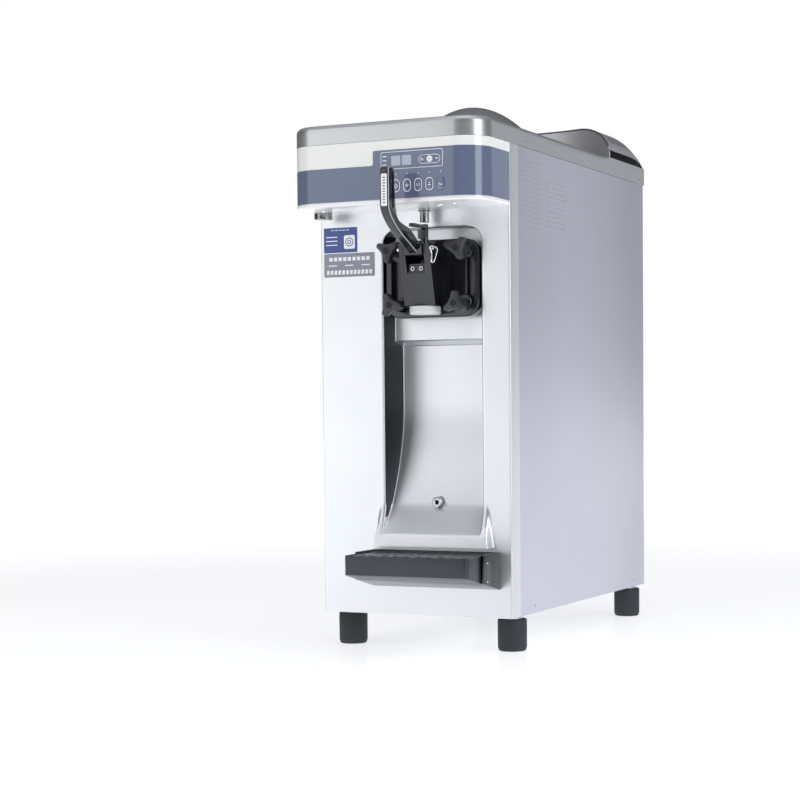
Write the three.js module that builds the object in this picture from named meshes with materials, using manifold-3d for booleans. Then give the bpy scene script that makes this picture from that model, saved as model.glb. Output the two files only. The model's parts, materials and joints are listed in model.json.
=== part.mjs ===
// Countertop soft-serve ice cream maker, one flavour, as an assembly of separate named parts.
// Millimetres, +Z up, X to the right and Y to the back, seen from the front.
// The parts are drawn with Y = 0 on the face of the front panel. The last lines shift the whole
// machine so that its origin is the middle of its bounding box, on the table.
import * as THREE from 'three';
import { mergeVertices } from 'three/addons/utils/BufferGeometryUtils.js';
import Module from 'manifold-3d';

const wasm = await Module();
wasm.setup();

// ---- driving dimensions ----------------------------------------------------------------------

const gap = 0.3; // between parts that touch
const casing = { half: 145, depth: 545, bottom: 49, seam: 691.8, sheet: 1.5, strip: 29, fold: 14 };
const cover = { top: 718.5, rear: 551, wall: 2, crown: 771, shoulder: 65, crownEnd: 490 };
const hopper = { y: 205, radius: 88, bottom: 590, rim: 95, rimThick: 2.5, scoop: 237, outletY: 160 };
const lid = { radius: 96, rim: 724, top: 777, fall: 62.5, sphere: 100, wall: 2.6, plug: 84.8, plugWall: 2 };
const hood = { reach: 94.8, bottom: 607.7, corner: 40, trim: 5.9, wall: 2.2, overlay: 0.8 };
const head = { x: 27, z: 513.5 }; // axis of the freezing cylinder
const recess = {
  left: -47, right: 102, top: 583, foot: 162, rise: 178, corner: 20, upper: 32, lower: 55, lean: 0.04,
};
const recessStep = { low: 425, high: 431 }; // the throat gets deeper below this step
const chute = { foot: 145, depth: 14, flareFoot: 14, flareTop: 9 }; // pressed over the tray's back
const door = { left: -44.6, right: 98.6, bottom: 460.5, top: 567, corner: 22, front: 2, back: 20 };
const seal = { inner: 41, outer: 45, front: 18, back: 21.7 };
const barrel = { bore: 38, outer: 44, jacket: 62, front: 22, rear: 300 };
const scraper = { front: 44, length: 236 };
const flange = { width: 122, bottom: 472, top: 555, thick: 13 };
const column = { y: -20, radius: 13, bore: 9.4, bottom: 466, top: 548 };
const spoutCover = { half: 23, top: 557, bottom: 475.4, frontTop: -55.6, frontBottom: -36.6, wall: 3.1 };
const lever = { y: -50, z: 550, front: -141, half: 7, hub: 9, nose: 23.7, noseHalf: 4, lean: 20 };
const pin = { radius: 2.2, reach: 28 };
const knobRows = [{ half: 52, z: 551.8 }, { half: 48.3, z: 477.5 }];
const knobTurns = [[30, 50], [-5, 90]]; // degrees, left and right knob of each row
const keyRow = { first: 5.2, pitch: 16.4, z: 630.6, count: 6, width: 12, height: 18 };
const roundKeys = { x: [60, 71, 82], z: 663.5, radius: 4.2 };
const keyProud = 0.3;
const switchRod = { radius: 6.5, bottom: 588.3, top: 648 };
const display = { left: 13.5, right: 45.7, bottom: 656, top: 671.6 };
const tray = {
  left: -62.4, right: 122.4, reach: 97.4, top: 137.5, lip: 111.3, bottom: 88, ledge: 134.2, land: 15, wall: 6,
};
const bracket = { left: -67, right: 127, reach: 55, top: 139.5, sheet: 3 };
const foot = { x: 124.4, front: 46.7, rear: 517.9, radius: 20.5, stud: 5 };
const frame = { inner: 127.4, outer: 141.4, size: 14, foot: 51.1, top: 688, shelf: 322 };
const motor = { z: 385, radius: 50, front: 205, rear: 345.7 };
const drivePlate = { front: 348, rear: 351 };
const pulley = { front: 356, rear: 376, driven: 42, small: 22, groove: 4 };
const fan = { x: -15, z: 185, radius: 86, y: 470 };
const drain = { z: 205.7, front: 12, riseY: 90, radius: 7, bend: 24, top: 446 };
const inlet = { x: 100, z: 90, radius: 11, collar: 14, bore: 5 };

// ---- solids from three.js shapes -------------------------------------------------------------

function signedVolume(points, index) {
  let sum = 0;
  const [a, b, c] = [new THREE.Vector3(), new THREE.Vector3(), new THREE.Vector3()];
  for (let i = 0; i < index.length; i += 3) {
    a.fromArray(points, 3 * index[i]);
    b.fromArray(points, 3 * index[i + 1]);
    c.fromArray(points, 3 * index[i + 2]);
    sum += a.dot(b.cross(c));
  }
  return sum / 6;
}

// A closed geometry becomes a solid: shared vertices merged, empty triangles dropped, faces out.
function solid(geometry) {
  geometry.deleteAttribute('normal');
  geometry.deleteAttribute('uv');
  const merged = mergeVertices(geometry, 1e-3);
  const points = new Float32Array(merged.attributes.position.array);
  const all = merged.index.array;
  const kept = [];
  for (let i = 0; i < all.length; i += 3) {
    const [a, b, c] = [all[i], all[i + 1], all[i + 2]];
    if (a !== b && b !== c && c !== a) kept.push(a, b, c);
  }
  if (signedVolume(points, kept) < 0) kept.reverse();
  const mesh = new wasm.Mesh({ numProp: 3, vertProperties: points, triVerts: new Uint32Array(kept) });
  return new wasm.Manifold(mesh);
}

const join = (first, ...rest) => rest.reduce((body, piece) => body.add(piece), first);
const cut = (first, ...rest) => rest.reduce((body, piece) => body.subtract(piece), first);

function box(x0, x1, y0, y1, z0, z1) {
  const geometry = new THREE.BoxGeometry(x1 - x0, y1 - y0, z1 - z0);
  return solid(geometry.translate((x0 + x1) / 2, (y0 + y1) / 2, (z0 + z1) / 2));
}

// Turns a shape or a turned profile from three.js's own axes to the axis it is wanted along.
function place(geometry, axis, a, b, start) {
  if (axis === 'x') geometry.rotateZ(-Math.PI / 2).translate(start, a, b);
  if (axis === 'y') geometry.translate(a, start, b);
  if (axis === 'z') geometry.rotateX(Math.PI / 2).translate(a, b, start);
  return geometry;
}

// A round bar along an axis; (a, b) are its centre's other two coordinates, in X, Y, Z order.
function rod(axis, radius, from, to, a, b, sides = 10) {
  const geometry = new THREE.CylinderGeometry(radius, radius, to - from, sides);
  return solid(place(geometry, axis, a, b, (from + to) / 2));
}

// A profile of [radius, height] points turned about an axis.
function turned(axis, profile, a, b, sides = 20) {
  const points = profile.map(([r, h]) => new THREE.Vector2(r, h));
  return solid(place(new THREE.LatheGeometry(points, sides), axis, a, b, 0));
}

// A flat shape pushed along an axis. Its own two coordinates are (Y, Z), (X, Z) or (X, Y).
function prism(axis, shape, from, to, curveSegments = 2) {
  const depth = to - from;
  const geometry = new THREE.ExtrudeGeometry(shape, { depth, bevelEnabled: false, curveSegments });
  const [x, y, z] = [0, 1, 2].map((i) => new THREE.Vector3().setComponent(i, 1));
  if (axis === 'x') {
    geometry.applyMatrix4(new THREE.Matrix4().makeBasis(y, z, x)).translate(from, 0, 0);
  } else if (axis === 'y') {
    geometry.rotateX(Math.PI / 2).translate(0, to, 0);
  } else {
    geometry.translate(0, 0, from);
  }
  return solid(geometry);
}

const outline = (points) => new THREE.Shape(points.map(([u, v]) => new THREE.Vector2(u, v)));

function roundRect(u0, u1, v0, v1, r) {
  const shape = new THREE.Shape();
  shape.absarc(u1 - r, v0 + r, r, -Math.PI / 2, 0);
  shape.absarc(u1 - r, v1 - r, r, 0, Math.PI / 2);
  shape.absarc(u0 + r, v1 - r, r, Math.PI / 2, Math.PI);
  shape.absarc(u0 + r, v0 + r, r, Math.PI, 1.5 * Math.PI);
  shape.closePath();
  return shape;
}

// Skins a stack of convex outlines that all have the same number of points.
function loft(rows) {
  const count = rows[0].length;
  const index = [];
  for (let r = 0; r + 1 < rows.length; r += 1) {
    for (let i = 0; i < count; i += 1) {
      const [a, b] = [r * count + i, r * count + ((i + 1) % count)];
      index.push(a, b, b + count, a, b + count, a + count);
    }
  }
  const last = (rows.length - 1) * count;
  for (let i = 1; i + 1 < count; i += 1) {
    index.push(0, i + 1, i, last, last + i, last + i + 1);
  }
  const geometry = new THREE.BufferGeometry().setFromPoints(rows.flat());
  geometry.setIndex(index);
  return solid(geometry);
}

function steps(from, to, count) {
  return Array.from({ length: count + 1 }, (_, i) => from + ((to - from) * i) / count);
}

// ---- finishes and the assembly ---------------------------------------------------------------

function finish(color, roughness, metalness) {
  return new THREE.MeshStandardMaterial({ color, roughness, metalness });
}

const brushed = finish(0xc9ced6, 0.35, 0.9);
const silver = finish(0xb9bccb, 0.45, 0.6);
const trim = finish(0xe6e7e4, 0.4, 0.1);
const overlayBlue = finish(0x6c7a96, 0.3, 0.1);
const blackPlastic = finish(0x2b2f38, 0.45, 0);
const greyPlastic = finish(0x4a4e57, 0.5, 0);
const rubber = finish(0x33363c, 0.8, 0);
const chrome = finish(0xd8dade, 0.12, 1);
const white = finish(0xf0f0ee, 0.5, 0);
const clear = finish(0xd4dde2, 0.2, 0);
const foam = finish(0xe3ddc8, 0.9, 0);
const castMetal = finish(0x8b9096, 0.5, 0.8);
const darkSteel = finish(0x3a3d42, 0.5, 0.4);
const copper = finish(0xb87345, 0.35, 0.9);
const circuit = finish(0x2f6b45, 0.6, 0);

const machine = new THREE.Group();
machine.name = 'ice_cream_maker';

function part(name, body, material, parent = machine) {
  const { vertProperties, triVerts, numProp } = body.getMesh();
  const geometry = new THREE.BufferGeometry();
  const count = vertProperties.length / numProp;
  const points = new Float32Array(count * 3);
  for (let i = 0; i < count; i += 1) {
    points.set(vertProperties.subarray(i * numProp, i * numProp + 3), i * 3);
  }
  geometry.setAttribute('position', new THREE.BufferAttribute(points, 3));
  geometry.setIndex(new THREE.BufferAttribute(new Uint32Array(triVerts), 1));
  geometry.computeVertexNormals();
  const mesh = new THREE.Mesh(geometry, material);
  mesh.name = name;
  parent.add(mesh);
  return mesh;
}

// ---- casing ----------------------------------------------------------------------------------

// The pressed throat: a space in front of which the cup is held, deeper below the door.
function recessDepth(z) {
  if (z >= recessStep.high) return recess.upper;
  const rise = Math.min(1, (z - recess.foot) / recess.rise);
  return recess.lower * Math.sin((rise * Math.PI) / 2);
}

function recessBody(grow, front) {
  const row = (z, depth, inset, height = z) => {
    const [left, right] = [recess.left + inset - grow, recess.right - inset + grow];
    const draw = recess.lean * depth;
    return [[left, front], [right, front], [right - draw, depth + grow], [left + draw, depth + grow]]
      .map(([x, y]) => new THREE.Vector3(x, y, height));
  };
  const heights = [recess.foot, 180, 205, 235, 270, 305, 340, recessStep.low];
  const lower = heights.map((z) => row(z, recessDepth(z), 0));
  const upper = [recessStep.high, recess.top - recess.corner].map((z) => row(z, recess.upper, 0));
  const corner = steps(15, 90, 5).map((angle) => {
    const turn = THREE.MathUtils.degToRad(angle);
    const z = recess.top - recess.corner * (1 - Math.sin(turn));
    return row(z, recess.upper, recess.corner * (1 - Math.cos(turn)), z + grow);
  });
  return loft([...lower, ...upper, ...corner]);
}

// The panel's foot, pressed forward over the back of the drip tray.
function chuteBody(inset, back) {
  const row = (z, depth, flare) => {
    const [left, right] = [recess.left - flare + inset, recess.right + flare - inset];
    return [[left, back], [right, back], [right - 2, -depth], [left + 2, -depth]]
      .map(([x, y]) => new THREE.Vector3(x, y, z));
  };
  return loft([
    row(chute.foot + inset, chute.depth - inset, chute.flareFoot),
    row(recess.foot - inset, 0.5, chute.flareTop),
  ]);
}

function frontPanel() {
  const { half, bottom, seam, sheet, strip } = casing;
  const top = seam - gap;
  const flat = box(-half, half, 0, sheet, bottom, top);
  const flanges = [-1, 1].map((side) => {
    const [a, b] = [side * half, side * (half - sheet)].sort((p, q) => p - q);
    return box(a, b, 0, strip, bottom, top);
  });
  const across = flange.width / 2 + 3;
  const window = roundRect(head.x - across, head.x + across, flange.bottom - 3, flange.top + 3, 12);
  const drainHole = rod('y', drain.radius + 0.8, 5, 40, head.x, drain.z);
  const pressed = join(flat, ...flanges, recessBody(sheet, 0), chuteBody(0, 1));
  return cut(pressed, recessBody(0, -5), chuteBody(sheet, 4), prism('y', window, 20, 40), drainHole);
}

function sidePanel(side) {
  const { half, depth, bottom, seam, sheet, strip, fold } = casing;
  const range = (a, b) => [side * a, side * b].sort((p, q) => p - q);
  const wall = box(...range(half - sheet, half), strip + gap, depth, bottom, seam - gap);
  const rearFold = box(...range(half - fold, half - 0.5), depth - sheet, depth, bottom, seam - gap);
  return join(wall, rearFold);
}

function rearPanel() {
  const { depth, bottom, seam, fold } = casing;
  const half = casing.half - fold - gap;
  const sheet = box(-half, half, depth - casing.sheet, depth, bottom + gap, seam - gap);
  const slots = [];
  for (const z of [...steps(95, 275, 9), ...steps(380, 460, 4)]) {
    for (const x of [fan.x - 45, fan.x + 45]) {
      slots.push(box(x - 38, x + 38, depth - 5, depth + 5, z - 4, z + 4));
    }
  }
  return cut(sheet, ...slots, rod('y', inlet.radius + 0.8, depth - 5, depth + 5, inlet.x, inlet.z, 12));
}

function basePan() {
  const [half, floor] = [casing.half - casing.sheet - gap, casing.bottom + gap];
  const block = box(-half, half, 1.8, casing.depth - 1.8, floor, floor + 12);
  const hollow = box(-half + 1.5, half - 1.5, 3.3, casing.depth - 3.3, floor + 1.5, floor + 20);
  const corners = [-foot.x, foot.x].flatMap((x) => [[x, foot.front], [x, foot.rear]]);
  const holes = corners.map(([x, y]) => rod('z', foot.stud + 0.5, floor - 5, floor + 5, x, y));
  return cut(block, hollow, ...holes);
}

function sideFrame(side) {
  const range = [side * frame.inner, side * frame.outer].sort((p, q) => p - q);
  const rear = casing.depth - 6;
  const posts = [[4, 4 + frame.size], [rear - frame.size, rear]]
    .map(([y0, y1]) => box(...range, y0, y1, frame.foot, frame.top));
  const rails = [frame.shelf, frame.top].map((z) => box(...range, 4, rear, z - frame.size, z));
  return join(...posts, ...rails);
}

function driveFrame() {
  const floor = frame.shelf + gap;
  const shelf = box(-frame.outer, frame.outer, 120, 480, floor, floor + 3);
  const saddle = box(head.x - 67, head.x + 67, 140, 143, floor + 1, 500);
  const plate = box(head.x - 77, head.x + 77, drivePlate.front, drivePlate.rear, floor + 1, 575);
  const cradle = rod('y', barrel.jacket + 1, 130, 150, head.x, head.z, 24);
  const holes = [head.z, motor.z].map((z) => rod('y', 10, 340, 360, head.x, z));
  return cut(join(shelf, saddle, plate), cradle, ...holes);
}

function footBody() {
  const [shoulder, seat, tip] = [44.5, casing.bottom - gap, 64];
  const block = [[0, 0], [foot.radius - 1.2, 0], [foot.radius, 1.2], [foot.radius, shoulder], [14, shoulder]];
  const stud = [[14, seat], [foot.stud, seat], [foot.stud, tip], [0, tip]];
  return turned('z', [...block, ...stud], 0, 0, 14);
}

part('front_panel', frontPanel(), brushed);
part('left_side_panel', sidePanel(-1), silver);
part('right_side_panel', sidePanel(1), silver);
part('rear_panel', rearPanel(), silver);
part('base_pan', basePan(), castMetal);
part('left_frame', sideFrame(-1), castMetal);
part('right_frame', sideFrame(1), castMetal);
part('drive_frame', driveFrame(), castMetal);
for (const [row, y] of [['front', foot.front], ['rear', foot.rear]]) {
  for (const [side, x] of [['left', -foot.x], ['right', foot.x]]) {
    part(`foot_${row}_${side}`, footBody(), rubber).position.set(x, y, 0);
  }
}

// ---- top cover, hopper and lid ---------------------------------------------------------------

// Plan of the casing's top: straight sides and rounded front corners, drawn in from the edge by inset.
function topPlan(inset, rear) {
  const [x, front, r] = [casing.half - inset, -hood.reach + inset, hood.corner - inset];
  const shape = new THREE.Shape();
  shape.moveTo(x, rear);
  shape.lineTo(-x, rear);
  shape.absarc(-x + r, front + r, r, Math.PI, 1.5 * Math.PI);
  shape.absarc(x - r, front + r, r, 1.5 * Math.PI, 2 * Math.PI);
  shape.closePath();
  return shape;
}

// The crowned housing behind the lid: round shoulders, a round back and a front scooped to the lid.
function crown(inset) {
  const half = casing.half - inset;
  const shoulderStart = casing.half - cover.shoulder;
  const rise = cover.crown - cover.top;
  const rear = cover.rear - inset;
  const heightAt = (x, y) => {
    const side = Math.max(0, Math.abs(x) - shoulderStart) / (half - shoulderStart);
    const back = Math.max(0, y - cover.crownEnd) / (rear - cover.crownEnd);
    return cover.top - inset + rise * Math.sqrt(1 - side * side) * Math.sqrt(1 - back * back);
  };
  const arc = steps(0, 90, 4).map((angle) => Math.sin(THREE.MathUtils.degToRad(angle)));
  const xs = [...arc.map((s) => shoulderStart + s * (half - shoulderStart))];
  const across = [...xs.slice().reverse(), ...xs.map((x) => -x)];
  const ys = [380, 430, ...arc.map((s) => cover.crownEnd + s * (rear - cover.crownEnd))];
  const rows = ys.map((y) => [
    ...across.map((x) => new THREE.Vector3(x, y, heightAt(x, y))),
    new THREE.Vector3(-half, y, 700),
    new THREE.Vector3(half, y, 700),
  ]);
  const scoop = rod('z', hopper.scoop + inset, cover.top - inset, 800, 0, hopper.y, 60);
  return cut(loft(rows), scoop);
}

function topCover() {
  const outer = join(prism('z', topPlan(0, cover.rear), casing.seam, cover.top), crown(0));
  const { wall } = cover;
  const inside = join(prism('z', topPlan(wall, cover.rear - wall), 680, cover.top - wall), crown(wall));
  const vents = [-1, 1].flatMap((side) => steps(428, 515, 6).map((y) => {
    const [a, b] = [side * 117, side * 135].sort((p, q) => p - q);
    return box(a, b, y - 2.5, y + 2.5, 722, 780);
  }));
  const mouth = rod('z', hopper.radius + 1.5, 700, 730, 0, hopper.y, 24);
  return cut(outer, inside, mouth, ...vents);
}

function hopperPan() {
  const { radius, bottom, rim } = hopper;
  const [seat, top] = [cover.top + gap, cover.top + gap + hopper.rimThick];
  const outside = [[0, bottom], [radius - 4, bottom], [radius, bottom + 6], [radius, seat], [rim, seat]];
  const floor = bottom + 2;
  const inside = [[rim, top], [radius - 2, top], [radius - 2, bottom + 7], [radius - 5, floor], [0, floor]];
  const pan = turned('z', [...outside, ...inside], 0, hopper.y, 24);
  const neck = rod('z', 14, 558.6, bottom + 1, head.x, hopper.outletY, 20);
  return cut(join(pan, neck), rod('z', 10, 550, bottom + 10, head.x, hopper.outletY, 20));
}

function hopperLid() {
  const base = cover.top + gap + hopper.rimThick + gap;
  const bore = lid.plug - lid.plugWall;
  const domeAt = (r) => lid.top - lid.fall * (r / lid.sphere) ** 2;
  const radii = [0, 25, 50, 70, 85];
  const outside = radii.map((r) => [r, domeAt(r)]);
  const inside = radii.map((r) => [Math.min(r, bore), domeAt(r) - lid.wall]).reverse();
  const rim = [[lid.radius, lid.rim], [lid.radius, base]];
  const plug = [[lid.plug, base], [lid.plug, base - 8], [bore, base - 8]];
  return turned('z', [...outside, ...rim, ...plug, ...inside], 0, hopper.y, 24);
}

// Stands in the hopper's outlet; mix goes in by the small hole and air comes down from the top.
function feedTube() {
  const [x, y] = [head.x, hopper.outletY];
  return cut(rod('z', 7, 561, 706, x, y), rod('z', 5, 550, 720, x, y), rod('y', 2.5, y - 20, y, x, 604, 10));
}

part('top_cover', topCover(), brushed);
part('hopper', hopperPan(), brushed);
part('hopper_lid', hopperLid(), brushed);
part('feed_tube', feedTube(), white);

// ---- hood with the controls ------------------------------------------------------------------

const keyCentres = Array.from({ length: keyRow.count }, (_, i) => keyRow.first + i * keyRow.pitch);

function keyOutline(grow) {
  const [w, h] = [keyRow.width / 2 + grow, keyRow.height / 2 + grow];
  return roundRect(-w, w, -h, h, w - 0.01);
}

// Everything that has to pass through the front of the hood, grown by a clearance.
function keyHoles(from, to) {
  const ovals = keyCentres.map((x) => {
    const [w, h] = [keyRow.width / 2 + gap, keyRow.height / 2 + gap];
    return prism('y', roundRect(x - w, x + w, keyRow.z - h, keyRow.z + h, w - 0.01), from, to, 2);
  });
  const rounds = roundKeys.x.map((x) => rod('y', roundKeys.radius + gap, from, to, x, roundKeys.z, 12));
  const { left, right, bottom, top } = display;
  const window = box(left - gap, right + gap, from, to, bottom - gap, top + gap);
  return [...ovals, ...rounds, window];
}

function hoodShell() {
  const [back, top] = [-gap, casing.seam - gap];
  const seat = hood.bottom + hood.trim;
  const skin = hood.overlay + gap;
  const rim = prism('z', topPlan(0, back), hood.bottom, seat);
  const body = join(rim, prism('z', topPlan(skin, back), seat - 1, top));
  const inside = prism('z', topPlan(skin + hood.wall, 20), hood.bottom + hood.wall, top + 10);
  const rodHole = rod('z', switchRod.radius + 0.7, 600, 620, head.x, column.y, 20);
  return cut(body, inside, ...keyHoles(-100, -85), rodHole);
}

function controlOverlay() {
  const [back, bottom, top] = [-gap, hood.bottom + hood.trim + gap, casing.seam - gap];
  const body = prism('z', topPlan(0, back), bottom, top);
  return cut(body, prism('z', topPlan(hood.overlay, 20), bottom - 5, top + 5), ...keyHoles(-100, -85));
}

function controlBoard() {
  const [front, back] = [-80, -78.4];
  const plate = box(-12, 102, front, back, 620, 686);
  const places = [...keyCentres.map((x) => [x, keyRow.z]), ...roundKeys.x.map((x) => [x, roundKeys.z])];
  const switches = places.map(([x, z]) => box(x - 3, x + 3, front - 6, front + 0.5, z - 3, z + 3));
  const posts = [-8, 98].flatMap((x) => [624, 682].map((z) => rod('y', 3, -91.1, front + 0.5, x, z, 8)));
  const digits = box(display.left, display.right, -94.6, front + 0.5, display.bottom, display.top);
  return join(plate, ...switches, ...posts, digits);
}

part('hood_shell', hoodShell(), trim);
part('control_overlay', controlOverlay(), overlayBlue);
part('control_board', controlBoard(), circuit);

const keyFront = -hood.reach - keyProud;
const keyBack = -87.2;
keyCentres.forEach((x, i) => {
  const key = part(`function_key_${i + 1}`, prism('y', keyOutline(0), keyFront, keyBack, 2), overlayBlue);
  key.position.set(x, 0, keyRow.z);
});
['plus_key', 'set_key', 'minus_key'].forEach((name, i) => {
  const key = part(name, rod('y', roundKeys.radius, keyFront, keyBack, 0, 0, 12), white);
  key.position.set(roundKeys.x[i], 0, roundKeys.z);
});

function microswitch() {
  const body = box(head.x - 10, head.x + 10, -30, -12, 672, 686);
  const tongue = box(head.x - 7, head.x + 7, -13, -0.5, 680, 682);
  const plunger = box(head.x - 3, head.x + 3, -28, -14, 669, 673);
  return join(body, tongue, plunger);
}

part('microswitch', microswitch(), blackPlastic);
part('switch_rod', rod('z', switchRod.radius, switchRod.bottom, switchRod.top, head.x, column.y, 14), chrome);

// ---- freezing cylinder and beater ------------------------------------------------------------

const studPlaces = knobRows.flatMap(({ half, z }) => [[head.x - half, z], [head.x + half, z]]);

function freezingCylinder() {
  const { bore, outer, front, rear } = barrel;
  const [shaft, endWall] = [9, rear - 4];
  const inside = [[shaft, endWall], [bore, endWall], [bore, front + 1]];
  const outside = [[outer, front + 1], [outer, rear], [shaft, rear], [shaft, endWall]];
  const tube = turned('y', [...inside, ...outside], head.x, head.z, 24);
  const half = flange.width / 2;
  const face = roundRect(head.x - half, head.x + half, flange.bottom, flange.top, 10);
  const plate = prism('y', face, front, front + flange.thick, 3);
  const flangePlate = cut(plate, rod('y', bore, front - 5, front + 20, head.x, head.z, 24));
  const studs = studPlaces.map(([x, z]) => rod('y', 4, -17, front + 2, x, z, 10));
  return cut(join(tube, flangePlate, ...studs), rod('z', 9, head.z, 570, head.x, hopper.outletY));
}

function insulationJacket() {
  const [inner, outer, y0, y1] = [barrel.outer + 0.4, barrel.jacket, 36, barrel.rear - 6];
  const section = [[inner, y0], [outer, y0], [outer, y1], [inner, y1], [inner, y0]];
  const ring = turned('y', section, head.x, head.z, 24);
  return cut(ring, rod('z', 14.6, head.z, 600, head.x, hopper.outletY, 20));
}

// One scraper blade: a bar that winds half a turn along the cylinder, just inside its bore.
function blade(start) {
  const rows = steps(0, 1, 14).map((t) => {
    const y = scraper.front + t * scraper.length;
    return [[28, -3], [36, -2], [36, 2], [28, 3]].map(([r, side]) => {
      const turn = start + t * Math.PI + side / r;
      return new THREE.Vector3(head.x + r * Math.cos(turn), y, head.z + r * Math.sin(turn));
    });
  });
  return loft(rows);
}

function beater() {
  const shaft = rod('y', 6, 40, 322, head.x, head.z, 14);
  const arms = [0, 1].map((t) => {
    const y = scraper.front + t * scraper.length;
    return box(head.x - 31, head.x + 31, y + (t ? -6 : 0), y + (t ? 0 : 6), head.z - 4, head.z + 4);
  });
  return join(shaft, blade(0), blade(Math.PI), ...arms);
}

part('freezing_cylinder', freezingCylinder(), brushed);
part('insulation_jacket', insulationJacket(), foam);
part('beater', beater(), white);

// ---- door, draw valve and lever --------------------------------------------------------------

function sealRing(inner, outer, front, back) {
  const section = [[inner, front], [outer, front], [outer, back], [inner, back], [inner, front]];
  return turned('y', section, head.x, head.z, 24);
}

function frontDoor() {
  const { left, right, bottom, top, corner, front, back } = door;
  const plate = prism('y', roundRect(left, right, bottom, top, corner), front, back);
  const spans = [[left + 9, head.x - 24], [head.x + 24, right - 9]];
  const pockets = spans.map(([x0, x1]) => prism('y', roundRect(x0, x1, 474, 552, 8), front - 5, 12, 3));
  const bosses = studPlaces.map(([x, z]) => rod('y', 10, front, back - 1, x, z));
  const web = box(head.x - 11, head.x + 11, column.y, front + 1, 475.2, column.top);
  const pillar = rod('z', column.radius, column.bottom, column.top, head.x, column.y, 20);
  const sealGroove = sealRing(seal.inner - 0.4, seal.outer + 0.4, seal.front - gap, back + 1);
  const noseWindow = box(head.x - 7.5, head.x + 7.5, -45, column.y, 531, 560);
  const valveBore = rod('z', column.bore, 450, 560, head.x, column.y, 20);
  const mixPort = rod('y', 6, column.y, back + 1, head.x, 484, 12);
  const studHoles = studPlaces.map(([x, z]) => rod('y', 4.5, front - 5, back + 5, x, z, 14));
  const body = join(cut(plate, ...pockets), ...bosses, web, pillar);
  return cut(body, sealGroove, noseWindow, valveBore, mixPort, ...studHoles);
}

function spoutShroud() {
  const { half, top, bottom, frontTop, frontBottom, wall } = spoutCover;
  const side = (inset, grow, back) => outline([
    [frontTop + inset, top + grow],
    [frontBottom + inset, bottom - grow],
    [back, bottom - grow],
    [back, top + grow],
  ]);
  const shell = cut(prism('x', side(0, 0, door.front - 0.4), head.x - half, head.x + half),
    prism('x', side(wall, 0.5, 10), head.x - half + wall, head.x + half - wall));
  const screwPlate = box(head.x - half + 2, head.x + half - 2, -43.5, -40, 514, 531);
  const window = box(head.x - 14, head.x + 14, -70, -44, 518, 570);
  const pinHole = rod('x', pin.radius + 0.4, -20, 80, lever.y, lever.z);
  return cut(join(shell, screwPlate), window, pinHole);
}

function drawLever() {
  const { y, z, front, half, hub, nose, noseHalf, lean } = lever;
  const underSide = [[front, 647], [front, 600], [-137, 593], [-128, 584], [-115, 573], [-97, 563.5]];
  const upperSide = [[-78, 555], [-54, 542.5], [-47, 558], [-75, 574.7], [-97, 580], [-112, 585]];
  const grip = [[-118, 593], [-120.8, 613], [-122.6, 648], [-126, 652], [-138, 651.5]];
  const arm = outline([...underSide, ...upperSide, ...grip]);
  const down = THREE.MathUtils.degToRad(-lean);
  const tip = [y + nose * Math.cos(down), z + nose * Math.sin(down)];
  const side = [-noseHalf * Math.sin(down), noseHalf * Math.cos(down)];
  const finger = outline([[y - side[0], z - side[1]], [tip[0] - side[0], tip[1] - side[1]],
    [tip[0] + side[0], tip[1] + side[1]], [y + side[0], z + side[1]]]);
  const labelPocket = box(head.x - 4.8, head.x + 4.8, front - 5, front + 1.2, 600.7, 641.3);
  const body = join(
    prism('x', arm, head.x - half, head.x + half),
    rod('x', hub, head.x - 13, head.x + 13, y, z),
    prism('x', finger, head.x - 5, head.x + 5),
    rod('x', noseHalf, head.x - 5, head.x + 5, tip[0], tip[1], 12),
  );
  return cut(body, labelPocket, rod('x', pin.radius + 0.4, 0, 60, y, z));
}

function drawValve() {
  const stem = turned('z', [[0, 477], [7, 477], [9, 479.5], [9, 552], [5.2, 555], [5.2, 586], [0, 586]],
    head.x, column.y, 18);
  const tab = box(head.x - 4.5, head.x + 4.5, -62, column.y, 577, 584.5);
  const web = box(head.x - 2.5, head.x + 2.5, -36, column.y, 566, 578);
  const slot = box(head.x - 6.5, head.x + 6.5, -35, -21.6, 536.7, 547.2);
  return cut(join(stem, tab, web), slot);
}

function pivotPin() {
  const link = prism('x', roundRect(-57, -43, 531, 554.5, 4), head.x + 26.5, head.x + 29.5, 3);
  const eye = prism('x', roundRect(-54, -46, 534, 546, 2.5), head.x + 20, head.x + 35, 3);
  return join(rod('x', pin.radius, 0, head.x + pin.reach, lever.y, lever.z, 14), cut(link, eye));
}

function starNozzle() {
  const [low, floor, top, bore] = [463.4, 465.6, 474.8, column.radius + 0.6];
  const outside = [[0, low], [19.5, low], [21.5, low + 1.6], [21.5, top]];
  const cap = turned('z', [...outside, [bore, top], [bore, floor], [0, floor]], head.x, column.y, 24);
  const star = outline(Array.from({ length: 12 }, (_, i) => {
    const [r, turn] = [i % 2 ? 3.6 : 7.5, (i * Math.PI) / 6];
    return [head.x + r * Math.cos(turn), column.y + r * Math.sin(turn)];
  }));
  return cut(cap, prism('z', star, 460, 470));
}

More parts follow.
